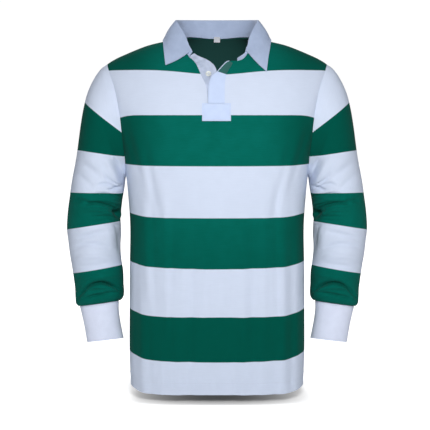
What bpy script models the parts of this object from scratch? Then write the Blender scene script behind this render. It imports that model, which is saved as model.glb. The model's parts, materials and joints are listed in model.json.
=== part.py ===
"""A long-sleeved rugby polo shirt in wide hoops, filled out as worn, hollow and open.

The origin is midway between the two side neck points. +X is the wearer's left, the
front faces -Y and +Z is up. The tables are in millimetres and the model in metres.
Each cloth piece is a thin wall: an outer face worked out from the garment's sections,
and an inner face moved in along the cloth's own normals.
"""
import math

import bpy
import numpy as np

MM = 0.001

# Cloth and seams
JERSEY = 1.7 * MM
TWILL = 1.4 * MM
SEAM = 0.4 * MM
LAP = 0.6 * MM
UNDER_LAP = 0.9 * MM
LABEL_THICKNESS = 1.0 * MM

# Heights of the body
HEM_Z = -776.0
UNDERARM_Z = -305.0
SHOULDER_X = 243.5
NECK_X = 80.0

# Rise of the hem towards the side seams: how high, how far up and how wide
HEM_LIFT, HEM_LIFT_REACH, HEM_LIFT_WIDTH = 7.0, 110.0, 22.0

# Rows and columns of the cloth
LOWER_ROWS = 13
ARM_ROWS = 12
SHOULDER_COLUMNS = 6
BOX_ROWS, BOX_COLUMNS = 5, 9
LABEL_ROWS, LABEL_COLUMNS = 4, 3
PLACKET_COLUMNS = 6
LEAF_ROWS = 6

# A typical level section, which spaces the columns evenly along the cloth
TYPICAL_HALF_WIDTH, TYPICAL_DEPTH, TYPICAL_POWER = 200.0, 125.0, 2.9

# Arch over the chest and back, up to the shoulder ridge
FRONT_ARCH_Z, FRONT_ARCH_POWER = -250.0, 2.0
BACK_ARCH_Z, BACK_ARCH_POWER = -200.0, 2.6
NAPE_RISE, NAPE_POWER = 40.0, 1.3


def table(columns, rows):
    """Named columns of a short table, as arrays."""
    values = np.array(rows, float)
    return {name: values[:, i] for i, name in enumerate(columns.split())}


# Level sections of the body, as if it ran on through the armholes
BODY = table(
    "z half_width front back power",
    [
        (-776, 194.5, 121, 100, 3.7),
        (-700, 197.2, 125, 104, 3.3),
        (-600, 197.0, 126, 106, 3.0),
        (-500, 196.0, 125, 106, 2.9),
        (-404, 195.0, 124, 106, 2.8),
        (-350, 198.8, 124, 106, 2.6),
        (-305, 203.0, 125, 107, 2.6),
        (-256, 211.5, 125, 108, 2.5),
        (-223, 221.0, 125, 108, 2.5),
        (-175, 232.0, 125, 108, 2.5),
        (-114, 251.0, 125, 108, 2.5),
        (-72, 265.0, 125, 108, 2.5),
        (70, 315.0, 125, 108, 2.5),
    ],
)

# Armhole seam as the front view shows it
ARMHOLE = table(
    "z x",
    [
        (-305, 203.0),
        (-256, 204.7),
        (-223, 208.0),
        (-175, 212.5),
        (-136, 219.0),
        (-114, 224.0),
        (-72, 238.5),
        (-57, 243.5),
    ],
)

# Shoulder ridge from the neck point to the tip, and on over the arm
RIDGE = table(
    "x z",
    [
        (0, 1.0),
        (80, 0.0),
        (121, -6.6),
        (157, -15.6),
        (180, -24.3),
        (201.5, -33.3),
        (222, -42.4),
        (243.5, -54.5),
        (300, -86.0),
    ],
)

# Front neck edge, left to right: down to the slit, and up along the open placket
FRONT_NECK = table(
    "x z",
    [
        (-80.0, 0.0),
        (-78.0, -6.5),
        (-74.5, -17.0),
        (-70.0, -28.0),
        (-65.5, -36.5),
        (-61.0, -43.0),
        (-54.0, -48.5),
        (-47.5, -55.5),
        (-41.3, -66.5),
        (-34.2, -83.0),
        (-27.2, -97.5),
        (-22.6, -111.0),
        (-20.9, -128.0),
        (-20.4, -146.0),
        (-18.0, -146.0),
        (-17.6, -122.0),
        (-15.6, -100.0),
        (-9.6, -87.0),
        (0.8, -77.5),
        (10.6, -66.4),
        (20.4, -56.3),
        (31.0, -51.8),
        (44.0, -51.5),
        (54.0, -48.5),
        (61.0, -43.0),
        (65.5, -36.5),
        (70.0, -28.0),
        (74.5, -17.0),
        (78.0, -6.5),
        (80.0, 0.0),
    ],
)

# Back neck edge, side to centre
BACK_NECK = table(
    "x z",
    [
        (80.0, 0.0),
        (77.0, 1.6),
        (71.0, 3.6),
        (62.0, 5.0),
        (50.0, 5.4),
        (34.0, 4.8),
        (17.0, 3.9),
        (0.0, 3.6),
    ],
)

# Soft folds of the body, as ridges along slanted lines; height is how far they stand out
BODY_FOLDS = table(
    "side x_top z_top x_foot z_foot width height",
    [
        (-1, -168, -190, -128, -330, 22, 3.0),
        (-1, 168, -190, 130, -320, 22, 3.0),
        (-1, -146, -470, -152, -776, 20, 3.0),
        (-1, -92, -500, -104, -776, 17, 2.6),
        (-1, 48, -540, 56, -776, 18, 2.4),
        (-1, 140, -420, 150, -776, 20, 3.0),
        (1, -150, -200, -110, -360, 26, 3.2),
        (1, 150, -200, 114, -350, 26, 3.2),
        (1, -60, -480, -84, -776, 24, 3.0),
        (1, 30, -520, 44, -776, 22, 2.6),
        (1, 128, -440, 140, -776, 22, 3.0),
    ],
)

# Sleeve rings from the armhole down: where the outer and the inner line of the arm lie,
# half the depth from front to back, and the depth at which the ring's middle sits
SLEEVE = table(
    "outer_x outer_z inner_x inner_z half_depth centre_y",
    [
        (243.5, -54.5, 203.0, -304.5, 60, 2),
        (259.5, -67.0, 205.2, -306.8, 64, 1),
        (275.0, -89.5, 206.0, -311.0, 67, 0),
        (288.5, -119.0, 206.6, -316.5, 69, -1),
        (297.5, -152.5, 207.2, -323.5, 70, -2),
        (304.0, -188.5, 208.4, -332.0, 70, -3),
        (309.0, -224.0, 210.0, -342.0, 69, -4),
        (314.3, -262.0, 212.2, -354.0, 68, -5),
        (320.7, -296.0, 213.8, -366.0, 67, -6),
        (326.3, -327.0, 215.0, -376.5, 66, -7),
        (330.4, -354.0, 215.8, -385.5, 65, -8),
        (333.8, -378.0, 216.0, -393.5, 64, -9),
        (336.0, -402.0, 216.0, -401.5, 63, -10),
        (336.5, -426.0, 216.2, -411.0, 62, -11),
        (332.5, -457.0, 217.4, -438.5, 60, -12),
        (329.0, -485.0, 217.2, -466.5, 58, -13),
        (325.3, -512.0, 215.2, -493.5, 56, -14),
        (321.8, -538.0, 212.5, -519.5, 54, -15),
        (319.6, -560.0, 210.4, -541.5, 52, -16),
        (319.0, -578.0, 209.4, -560.0, 50, -16),
        (318.0, -590.0, 210.2, -573.0, 46, -16),
        (313.6, -596.6, 215.0, -582.0, 40, -16),
        (309.6, -597.6, 221.4, -585.2, 34, -16),
    ],
)

# Largest folds of a sleeve, by ring and by angle from the outer line over the front
SLEEVE_FOLDS = table(
    "ring angle slant ring_width angle_width height",
    [
        (2.6, 100, -0.010, 0.8, 45, 3.0),
        (9.0, 62, 0.012, 0.9, 42, 3.0),
        (11.2, 140, -0.008, 0.7, 44, 4.0),
        (12.4, 118, 0.012, 0.6, 46, -4.0),
        (13.6, 150, 0.006, 0.7, 40, 3.6),
        (12.2, 232, 0.008, 0.9, 50, -3.0),
        (15.2, 70, 0.010, 0.9, 60, 2.4),
        (17.3, 100, -0.006, 0.6, 75, 3.2),
        (18.1, 80, 0.004, 0.5, 70, -3.0),
        (17.6, 255, 0.006, 0.7, 60, 3.0),
    ],
)

# Cuff rings, from under the sleeve's fold to the open end
CUFF = table(
    "outer_x outer_z inner_x inner_z half_depth centre_y",
    [
        (309.4, -598.1, 221.6, -585.7, 33.6, -16),
        (304.5, -619.0, 221.4, -607.5, 32.0, -17),
        (300.0, -640.0, 218.6, -629.0, 30.6, -18),
        (296.4, -661.0, 214.6, -651.0, 29.6, -19),
        (293.4, -679.4, 210.8, -669.8, 29.0, -20),
    ],
)

# Collar stations from a front end to the centre back: fold line, then leaf edge, on the
# wearer's left and right
FOLD = table(
    "left_x right_x y z",
    [
        (62.0, 54.5, -64.5, -32.0),
        (65.5, 59.5, -54.5, -20.0),
        (70.5, 66.7, -42.0, -2.0),
        (78.5, 76.5, -27.0, 16.6),
        (85.0, 84.3, -13.0, 29.0),
        (88.7, 88.7, -2.0, 36.4),
        (90.0, 90.0, 8.0, 40.0),
        (88.6, 88.6, 24.0, 41.8),
        (82.6, 82.6, 42.0, 43.2),
        (70.0, 70.0, 57.0, 44.4),
        (50.0, 50.0, 69.0, 45.2),
        (26.0, 26.0, 76.0, 45.6),
        (0.0, 0.0, 78.5, 45.8),
    ],
)
LEAF = table(
    "left_x left_y left_z right_x right_y right_z",
    [
        (106.6, -76, -75.0, 111.2, -74, -61.2),
        (108.8, -70, -60.0, 113.4, -67, -47.0),
        (111.2, -57, -43.5, 115.4, -54, -33.0),
        (114.6, -41, -28.0, 117.2, -38, -21.0),
        (117.4, -24, -16.0, 118.6, -22, -12.0),
        (119.4, -7, -7.0, 119.4, -6, -6.0),
        (119.4, 12, -4.6, 119.4, 12, -4.6),
        (116.4, 31, -7.0, 116.4, 31, -7.0),
        (107.5, 50, -12.0, 107.5, 50, -12.0),
        (90.0, 66, -16.0, 90.0, 66, -16.0),
        (65.0, 78, -16.5, 65.0, 78, -16.5),
        (34.0, 85, -15.0, 34.0, 85, -15.0),
        (0.0, 87, -14.0, 0.0, 87, -14.0),
    ],
)
LEAF_SWELL = 2.6
LEAF_CLEARANCE = 1.1

# The leaf's front ends are cut in a curve: how far it bows down, over so many stations
END_BOW, BOW_STATIONS = 5.0, 3

# Below the ridge by this much, the leaf is held off the front along its depth alone
RIDGE_ZONE = 12.0

# Rows of the collar's stand, as shares of the way from its foot to the fold
STAND = (0, 0.35, 0.7)
COLLAR_FOOT_LIFT = 0.9

# Rows of the rolled fold, measured from the fold line: out over the leaf, and up
ROLL = table(
    "out up",
    [
        (-0.8, -2.4),
        (0.7, 0.5),
        (3.4, -1.0),
    ],
)

# Rings over which the sleeve's head eases from the armhole's edge to its own ovals
HEAD_RINGS = 4

# Neck tape: a low strip inside the neck edge that runs on to the placket
TAPE_HEIGHT = 12.5
TAPE_INSET = 2.4
TAPE_FOOT_LIFT = 0.7

# Collar stations at the wearer's right where the under placket takes the tape's place
TAPE_SHORT = 1

# Neck edge points past the collar's left end that the tape takes in, and its lean there
TAPE_END = table(
    "neck_point lean_x lean_y lean_z",
    [
        (-8, -0.05, 0.78, 0.62),
        (-7, -0.15, 0.62, 0.77),
    ],
)

# Placket strips, foot to neck: left and right edge
PLACKET_TOP = table(
    "left_x left_z right_x right_z",
    [
        (-19.2, -143.4, 16.1, -143.4),
        (-19.0, -124.0, 16.1, -124.0),
        (-18.4, -108.0, 16.4, -106.0),
        (-16.0, -95.0, 17.4, -93.0),
        (-10.6, -84.8, 19.6, -83.6),
        (-0.2, -75.6, 23.0, -75.0),
        (9.6, -64.7, 28.0, -66.5),
        (19.3, -54.9, 31.6, -61.0),
        (25.6, -52.4, 33.4, -57.6),
    ],
)
PLACKET_UNDER = table(
    "left_x left_z right_x right_z",
    [
        (-31.0, -143.0, 2.0, -143.0),
        (-31.0, -124.0, 2.0, -124.0),
        (-33.0, -109.0, 1.0, -107.0),
        (-39.0, -96.0, -0.6, -92.5),
        (-45.0, -83.0, -1.4, -80.0),
        (-50.5, -70.5, -1.6, -69.6),
        (-55.0, -60.0, -8.4, -57.6),
        (-58.5, -52.5, -22.4, -47.0),
        (-60.5, -46.5, -41.4, -38.6),
        (-62.0, -40.5, -49.5, -33.0),
    ],
)
BOX_HALF_WIDTH, BOX_X = 30.6, -1.2
BOX_TOP_Z, BOX_FOOT_Z = -143.9, -181.2

# Button on the under placket
BUTTON_X, BUTTON_Z = -18.5, -79.4
BUTTON_RADIUS = 6.4
BUTTON_HEIGHT = 2.6
BUTTON_SIDES = 24

# Turned profile of the button from its back to its dished face, as shares of its size
BUTTON_PROFILE = table(
    "radius height",
    [
        (0.62, 0.00),
        (0.94, 0.18),
        (1.00, 0.50),
        (0.95, 0.86),
        (0.84, 1.00),
        (0.70, 0.94),
        (0.60, 0.65),
    ],
)

# Size label inside the back neck
LABEL_HALF_WIDTH = 7.2
LABEL_TOP_Z, LABEL_FOOT_Z = 5.6, -5.0
LABEL_INSET = 3.45

# Finishes: a colour as linear red, green and blue, and a roughness
GREEN_JERSEY = ((0.005, 0.130, 0.095), 0.85)
WHITE_JERSEY = ((0.640, 0.700, 0.820), 0.85)
WHITE_TWILL = ((0.560, 0.650, 0.840), 0.75)
LABEL_TAPE = ((0.700, 0.740, 0.820), 0.65)
PEARL = ((0.780, 0.800, 0.760), 0.35)


def along(key, values, at):
    """Smooth value of a table's column where its key column has the value at."""
    at = np.asarray(at, float)
    slopes = np.gradient(values, key)
    i = np.clip(np.searchsorted(key, at) - 1, 0, len(key) - 2)
    step = key[i + 1] - key[i]
    f = np.clip((at - key[i]) / step, 0, 1)
    start = (1 + 2 * f) * (1 - f) ** 2 * values[i] + f * (1 - f) ** 2 * step * slopes[i]
    end = f * f * (3 - 2 * f) * values[i + 1] + f * f * (f - 1) * step * slopes[i + 1]
    return start + end


def rounding(ratio, power):
    """Depth of a rounded section, from 1 at its middle to 0 at its end."""
    return (1 - np.clip(np.abs(ratio), 0, 1) ** power) ** (1 / power)


def ridge_z(x, side):
    """Height of the shoulder ridge. Behind the neck it rises to the nape."""
    height = along(RIDGE["x"], RIDGE["z"], np.abs(x))
    if side > 0:
        inside = np.clip(1 - (x / NECK_X) ** 2, 0, 1)
        height = height + NAPE_RISE * inside**NAPE_POWER
    return height


def arch(side):
    """Where the chest or back starts to curve over, and how squarely."""
    if side < 0:
        return FRONT_ARCH_Z, FRONT_ARCH_POWER
    return BACK_ARCH_Z, BACK_ARCH_POWER


def fold_height(x, z, side):
    """Height of the body's soft folds."""
    total = np.zeros(np.broadcast(x, z).shape)
    for n in range(len(BODY_FOLDS["side"])):
        row = {name: column[n] for name, column in BODY_FOLDS.items()}
        if row["side"] != side:
            continue
        run = np.clip((row["z_top"] - z) / (row["z_top"] - row["z_foot"]), -0.3, 1.3)
        centre = row["x_top"] + run * (row["x_foot"] - row["x_top"])
        across = np.exp(-(((x - centre) / row["width"]) ** 2))
        ends = np.exp(-(np.clip(np.abs(run - 0.6) - 0.3, 0, 1) ** 2) * 12)
        total = total + row["height"] * across * ends
    return total


def body_y(x, z, side):
    """Depth of the body's outer face at x and z: -1 is the front, 1 is the back."""
    column = "front" if side < 0 else "back"
    width = along(BODY["z"], BODY["half_width"], z)
    power = along(BODY["z"], BODY["power"], z)
    depth = along(BODY["z"], BODY[column], z)
    start, arch_power = arch(side)
    up = np.clip((z - start) / (ridge_z(x, side) - start), 0, 1)
    round_in = rounding(x / width, power) * rounding(up, arch_power)
    return side * (SEAM / MM / 2 + (depth + fold_height(x, z, side)) * round_in)


def even_fractions(count):
    """Fractions of the half width, evenly spaced along the cloth round the body."""
    angle = np.linspace(0, math.pi, 721)
    bend = 2 / TYPICAL_POWER
    x = np.sign(np.cos(angle)) * np.abs(np.cos(angle)) ** bend
    y = np.sin(angle) ** bend
    steps = np.hypot(np.diff(x) * TYPICAL_HALF_WIDTH, np.diff(y) * TYPICAL_DEPTH)
    length = np.concatenate(([0], np.cumsum(steps)))
    return -np.interp(np.linspace(0, length[-1], count), length, x)


def lower_heights():
    """Heights of the rows from the hem up to the underarm."""
    return np.linspace(HEM_Z, UNDERARM_Z, LOWER_ROWS + 1)


def arm_fractions():
    """Fractions of the way from the underarm to the top edge, closer at both ends."""
    return (1 - np.cos(np.linspace(0, math.pi, ARM_ROWS + 1))) / 2


def shoulder_tops():
    """Places of the columns along the shoulder seam, from the neck point outwards."""
    return np.linspace(NECK_X, SHOULDER_X, SHOULDER_COLUMNS + 1)[1:]


def hem_lift(from_seam, z):
    """How far the hem and the cloth above it are hitched up near the side seams."""
    share = np.clip(1 - (z - HEM_Z) / HEM_LIFT_REACH, 0, 1)
    return HEM_LIFT * share * np.exp(-((from_seam / HEM_LIFT_WIDTH) ** 2))


def panel_points(side):
    """Outer face of the front or back, rows from the hem up and columns left to right."""
    if side < 0:
        neck_x, neck_z = FRONT_NECK["x"], FRONT_NECK["z"]
    else:
        neck_x = np.concatenate((-BACK_NECK["x"], BACK_NECK["x"][-2::-1]))
        neck_z = np.concatenate((BACK_NECK["z"], BACK_NECK["z"][-2::-1]))
    outer = shoulder_tops()
    top_x = np.concatenate((-outer[::-1], neck_x, outer))
    outer_z = ridge_z(outer, -1)
    top_z = np.concatenate((outer_z[::-1], neck_z, outer_z))
    fraction = even_fractions(len(top_x))
    rows = []
    for level in lower_heights():
        from_seam = along(BODY["z"], BODY["half_width"], level) * (1 - np.abs(fraction))
        z = level + hem_lift(from_seam, level)
        rows.append((along(BODY["z"], BODY["half_width"], z) * fraction, z))
    tip_z = outer_z[-1]
    for up in arm_fractions()[1:]:
        edge_z = UNDERARM_Z + (tip_z - UNDERARM_Z) * up
        edge_x = along(ARMHOLE["z"], ARMHOLE["x"], edge_z)
        x = edge_x * (fraction * (1 - up) + top_x / SHOULDER_X * up)
        rows.append((x, UNDERARM_Z + (top_z - UNDERARM_Z) * up))
    grid = [np.stack((x, body_y(x, z, side), z), axis=-1) for x, z in rows]
    return np.array(grid) * MM


def unit(vectors):
    """Vectors brought to length 1."""
    length = np.linalg.norm(vectors, axis=-1, keepdims=True)
    return vectors / np.maximum(length, 1e-12)


def differences(grid, axis, closed):
    """Steps from each point's neighbour on one side to that on the other."""
    if closed:
        return np.roll(grid, -1, axis) - np.roll(grid, 1, axis)
    return np.gradient(grid, axis=axis)


def grid_normals(grid, closed=False):
    """Normals of a grid of rows and columns, facing columns x rows."""
    return unit(np.cross(differences(grid, 1, closed), differences(grid, 0, False)))


def wall_mesh(name, outer, inner, closed=False):
    """One closed wall between an outer and an inner grid of points."""
    rows, columns = outer.shape[:2]
    points = np.concatenate((outer.reshape(-1, 3), inner.reshape(-1, 3)))
    shift = rows * columns
    faces = []
    last = columns if closed else columns - 1
    for r in range(rows - 1):
        for c in range(last):
            a = r * columns + c
            b = r * columns + (c + 1) % columns
            faces.append((a, b, b + columns, a + columns))
            faces.append((a + shift, a + columns + shift, b + columns + shift, b + shift))
    for c in range(last):
        a, b = c, (c + 1) % columns
        faces.append((b, a, a + shift, b + shift))
        a, b = a + (rows - 1) * columns, b + (rows - 1) * columns
        faces.append((a, b, b + shift, a + shift))
    if not closed:
        for r in range(rows - 1):
            a, b = r * columns, (r + 1) * columns
            faces.append((a, b, b + shift, a + shift))
            a, b = a + columns - 1, b + columns - 1
            faces.append((b, a, a + shift, b + shift))
    mesh = bpy.data.meshes.new(name)
    mesh.from_pydata([tuple(p) for p in points], [], faces)
    mesh.update()
    mesh.shade_smooth()
    mesh.set_sharp_from_angle(angle=math.radians(50))
    return mesh


def material(name, colour, roughness):
    """A piece's own plain finish."""
    made = bpy.data.materials.new(name + "_finish")
    made.use_nodes = True
    shader = made.node_tree.nodes["Principled BSDF"]
    shader.inputs["Base Color"].default_value = (*colour, 1)
    shader.inputs["Roughness"].default_value = roughness
    shader.inputs["Metallic"].default_value = 0.0
    made.diffuse_color = (*colour, 1)
    return made


def place(name, mesh, finish):
    """A named piece in the scene. A finish is a colour and a roughness."""
    mesh.materials.append(material(name, *finish))
    piece = bpy.data.objects.new(name, mesh)
    bpy.context.scene.collection.objects.link(piece)
    return piece


def panel_faces(side):
    """Outer and inner face of the front or back, columns left to right."""
    outer = panel_points(side)
    outward = grid_normals(outer) * -side
    outward[: LOWER_ROWS + 1, (0, -1), 1] = 0
    outward[-1, : SHOULDER_COLUMNS + 1, 1] = 0
    outward[-1, -SHOULDER_COLUMNS - 1 :, 1] = 0
    return outer, outer - unit(outward) * JERSEY


def make_panel(name, side, finish):
    """The front or the back, from hem to shoulder, with its neck edge."""
    outer, inner = panel_faces(side)
    if side > 0:
        outer, inner = outer[:, ::-1], inner[:, ::-1]
    return place(name, wall_mesh(name, outer, inner), finish)


def ring(row, angles):
    """Points of one oval ring of a sleeve or cuff on the wearer's left."""
    outer = np.array((row["outer_x"], row["outer_z"]))
    inner = np.array((row["inner_x"], row["inner_z"]))
    middle, reach = (outer + inner) / 2, (outer - inner) / 2
    flat = middle + np.cos(angles)[:, None] * reach
    y = row["centre_y"] - np.sin(angles) * row["half_depth"]
    return np.stack((flat[:, 0], y, flat[:, 1]), axis=-1)


def tube_angles():
    """Angles round a sleeve: from its outer line over the front and back again."""
    up = arm_fractions()
    front = np.arccos(2 * up[::-1] - 1)
    return np.concatenate((front, 2 * math.pi - front[-2:0:-1]))


def armhole_edge():
    """The body's edge at the wearer's left armhole, at the sleeve's angles: its outer
    points, the way in to its inner points, and the way across to the sleeve."""
    parts = []
    for side in (-1, 1):
        outer, inner = panel_faces(side)
        edge = outer[LOWER_ROWS:, -1]
        inward = unit(inner[LOWER_ROWS:, -1] - edge)
        across = unit(np.cross(np.gradient(edge, axis=0), inward)) * side
        parts.append(np.stack((edge, inward, across)))
    joined = np.concatenate((parts[0][:, ::-1], parts[1][:, 1:-1]), axis=1)
    return joined[0], unit(joined[1]), unit(joined[2])


def table_row(source, n):
    """One row of a table, by its columns' names."""
    return {name: column[n] for name, column in source.items()}


def sleeve_fold(n, angles):
    """Height of the sleeve's folds on one ring."""
    total = np.zeros(len(angles))
    degrees = np.degrees(angles)
    for f in range(len(SLEEVE_FOLDS["ring"])):
        row = table_row(SLEEVE_FOLDS, f)
        turn = degrees - row["angle"]
        off = (n - row["ring"] - turn * row["slant"]) / row["ring_width"]
        total = total + row["height"] * np.exp(-(off**2) - (turn / row["angle_width"]) ** 2)
    return total


def sleeve_points():
    """Outer face of the sleeve on the wearer's left, from the armhole down."""
    angles = tube_angles()
    count = len(SLEEVE["outer_x"])
    rings = np.array([ring(table_row(SLEEVE, n), angles) for n in range(count)])
    seam_gap = armhole_edge()[0] / MM - rings[0]
    for n in range(HEAD_RINGS):
        rings[n] += seam_gap * (1 - n / HEAD_RINGS) ** 2
    outward = unit(rings - rings.mean(axis=1, keepdims=True))
    for n in range(2, count - 3):
        rings[n] += outward[n] * sleeve_fold(n, angles)[:, None]
    return rings * MM


def make_sleeve(name, side, finish):
    """A long sleeve, bloused a little over the cuff. Its rim lies level with the body's
    rim at the shoulder and turns to face it squarely under the arm."""
    outer = sleeve_points()
    inward, across = armhole_edge()[1:]
    outer[0] += across * SEAM
    normals = grid_normals(outer, closed=True)
    inner = outer - normals * JERSEY
    low = np.clip(-np.cos(tube_angles()) * 2 - 1, 0, 1)[:, None]
    inner[0] = outer[0] + unit(inward * (1 - low) + across * low) * JERSEY
    return place(name, tube_mesh(name, outer, inner, side), finish)


def tube_mesh(name, outer, inner, side):
    """A closed tube's wall, mirrored for the wearer's right."""
    mirror = np.array((side, 1, 1))
    outer, inner = outer * mirror, inner * mirror
    if side < 0:
        outer, inner = outer[:, ::-1], inner[:, ::-1]
    return wall_mesh(name, outer, inner, closed=True)


def make_cuff(name, side, finish):
    """A plain tapered cuff, open at its end."""
    angles = tube_angles()
    count = len(CUFF["outer_x"])
    outer = np.array([ring(table_row(CUFF, n), angles) for n in range(count)]) * MM
    inner = outer - grid_normals(outer, closed=True) * TWILL
    return place(name, tube_mesh(name, outer, inner, side), finish)


def push_out(points, margin):
    """Points moved out to lie at least a margin clear of the body's outer face."""
    moved = np.array(points, float)
    for index in np.ndindex(moved.shape[:-1]):
        x, y, z = moved[index]
        side = -1 if y < 0 else 1
        start, power = arch(side)
        if z <= start:
            continue
        crown = ridge_z(x, side) - start
        width = along(BODY["z"], BODY["half_width"], z)
        depth = along(BODY["z"], BODY["front" if side < 0 else "back"], z)
        depth = depth * rounding(x / width, along(BODY["z"], BODY["power"], z))
        level = ((z - start) / crown) ** power + (abs(y) / depth) ** power
        reach = math.hypot(y, z - start)
        surface = reach / level ** (1 / power)
        grow = max(1, (surface + margin * 1.2) / reach)
        moved[index] = (x, y * grow, start + (z - start) * grow)
        if side < 0:
            flat = float(np.clip((ridge_z(x, side) - z) / RIDGE_ZONE, 0, 1))
            slope = float(body_y(x, z + 0.5, side) - body_y(x, z - 0.5, side))
            held = (x, min(y, float(body_y(x, z, side)) - margin * math.hypot(1, slope)), z)
            moved[index] = moved[index] * (1 - flat) + np.array(held) * flat
    return moved


def collar_stations():
    """Neck edge points that carry the collar, left front to right front."""
    front = FRONT_NECK
    left = [(front["x"][i], front["z"][i], -1) for i in range(-6, 0)]
    back = [(x, z, 1) for x, z in zip(BACK_NECK["x"][1:], BACK_NECK["z"][1:])]
    half = left + back
    other = [(-x, z, side) for x, z, side in half[-2::-1]]
    stations = []
    for x, z, side in half + other:
        stations.append((x, float(body_y(x, z, side)), z))
    return np.array(stations)


def fold_points():
    """The fold line at each station, left front to right front."""
    left = np.stack((FOLD["left_x"], FOLD["y"], FOLD["z"]), axis=-1)
    right = np.stack((-FOLD["right_x"], FOLD["y"], FOLD["z"]), axis=-1)
    return np.concatenate((left, right[-2::-1]))


def leaf_points():
    """The leaf's free edge at each station, left front to right front."""
    left = np.stack((LEAF["left_x"], LEAF["left_y"], LEAF["left_z"]), axis=-1)
    right = np.stack((-LEAF["right_x"], LEAF["right_y"], LEAF["right_z"]), axis=-1)
    return np.concatenate((left, right[-2::-1]))


def make_collar(finish):
    """The folded twill collar: up from the neck edge, over the fold and out."""
    foot, fold, edge = collar_stations(), fold_points(), leaf_points()
    up = unit(fold - foot)
    away = unit(edge - fold)
    foot = foot + up * COLLAR_FOOT_LIFT
    rows = [foot + (fold - foot) * share for share in STAND]
    out = unit(away + up)
    for n in range(len(ROLL["out"])):
        rows.append(fold + out * ROLL["out"][n] + up * ROLL["up"][n])
    start = rows[-1]
    lift = unit(np.cross(away, np.gradient(fold, axis=0)))
    station = np.arange(len(fold))
    from_end = np.minimum(station, station[::-1])
    bow = END_BOW * np.clip(1 - from_end / BOW_STATIONS, 0, 1) ** 2
    for n in range(1, LEAF_ROWS + 1):
        f = n / LEAF_ROWS
        row = start + (edge - start) * f + lift * LEAF_SWELL * math.sin(math.pi * f)
        row[:, 2] -= bow * math.sin(math.pi * f)
        rows.append(push_out(row, LEAF_CLEARANCE + TWILL / MM))
    outside = np.array(rows) * MM
    inside = outside - grid_normals(outside) * TWILL
    return place("collar", wall_mesh("collar", outside, inside), finish)


def make_neck_tape(finish):
    """The low strip inside the collar's foot, on to the top of the placket."""
    foot = collar_stations()
    up = unit(fold_points() - foot)
    point = TAPE_END["neck_point"].astype(int)
    extra_x, extra_z = FRONT_NECK["x"][point], FRONT_NECK["z"][point]
    extra = np.stack((extra_x, body_y(extra_x, extra_z, -1), extra_z), axis=-1)
    lean = np.stack((TAPE_END["lean_x"], TAPE_END["lean_y"], TAPE_END["lean_z"]), axis=-1)
    foot = np.concatenate((extra, foot[:-TAPE_SHORT]))
    up = np.concatenate((lean, up[:-TAPE_SHORT]))
    run = unit(np.gradient(foot, axis=0))
    into = unit(np.cross(up, run))
    base = foot + into * TAPE_INSET + up * TAPE_FOOT_LIFT
    rows = [base + up * TAPE_HEIGHT * share for share in (0, 0.5, 1)]
    outside = np.array(rows) * MM
    inside = outside + into * TWILL
    return place("neck_tape", wall_mesh("neck_tape", outside, inside), finish)


def strip_points(source, columns):
    """Rows of x and z across a strip, from its foot to its top."""
    across = np.linspace(0, 1, columns)
    x = source["left_x"][:, None] * (1 - across) + source["right_x"][:, None] * across
    z = source["left_z"][:, None] * (1 - across) + source["right_z"][:, None] * across
    return x, z


def lie_on_front(x, z, rise):
    """Points on the front's outer face, moved out by a rise along its normals."""
    y = body_y(x, z, -1)
    slope_x = body_y(x + 0.5, z, -1) - body_y(x - 0.5, z, -1)
    slope_z = body_y(x, z + 0.5, -1) - body_y(x, z - 0.5, -1)
    normal = unit(np.stack((slope_x, -np.ones_like(y), slope_z), axis=-1))
    return (np.stack((x, y, z), axis=-1) + normal * rise / MM) * MM


def make_strip(name, source, rise, finish):
    """A placket strip that lies on, or under, the front."""
    x, z = strip_points(source, PLACKET_COLUMNS)
    outer = lie_on_front(x, z, rise + TWILL)
    inner = lie_on_front(x, z, rise)
    return place(name, wall_mesh(name, outer, inner), finish)


def make_box(finish):
    """The box patch that closes the foot of the placket."""
    left, right = BOX_X - BOX_HALF_WIDTH, BOX_X + BOX_HALF_WIDTH
    across = np.linspace(left, right, BOX_COLUMNS)
    x, z = np.meshgrid(across, np.linspace(BOX_FOOT_Z, BOX_TOP_Z, BOX_ROWS))
    outer = lie_on_front(x, z, LAP + TWILL)
    inner = lie_on_front(x, z, LAP)
    return place("placket_box", wall_mesh("placket_box", outer, inner), finish)


def make_button(finish):
    """A dished shirt button on the under placket."""
    x, z = np.array([[BUTTON_X]]), np.array([[BUTTON_Z]])
    under = -(JERSEY + UNDER_LAP)
    seat = lie_on_front(x, z, under + SEAM)[0, 0]
    top = lie_on_front(x, z, under + SEAM + BUTTON_HEIGHT * MM)[0, 0]
    axis = unit(top - seat)
    level = unit(np.cross(axis, np.array((0, 0, 1.0))))
    rise = np.cross(level, axis)
    points = []
    for radius, height in zip(BUTTON_PROFILE["radius"], BUTTON_PROFILE["height"]):
        for n in range(BUTTON_SIDES):
            turn = 2 * math.pi * n / BUTTON_SIDES
            out = (level * math.cos(turn) + rise * math.sin(turn)) * radius * BUTTON_RADIUS
            points.append(seat + (out + axis * height * BUTTON_HEIGHT) * MM)
    faces = [tuple(range(BUTTON_SIDES))]
    last_ring = len(BUTTON_PROFILE["radius"]) - 1
    for r in range(last_ring):
        for n in range(BUTTON_SIDES):
            a = r * BUTTON_SIDES + n
            b = r * BUTTON_SIDES + (n + 1) % BUTTON_SIDES
            faces.append((b, a, a + BUTTON_SIDES, b + BUTTON_SIDES))
    first = last_ring * BUTTON_SIDES
    faces.append(tuple(reversed(range(first, first + BUTTON_SIDES))))
    mesh = bpy.data.meshes.new("button")
    mesh.from_pydata([tuple(p) for p in points], [], faces)
    mesh.update()
    mesh.shade_smooth()
    mesh.set_sharp_from_angle(angle=math.radians(35))
    return place("button", mesh, finish)


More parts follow.
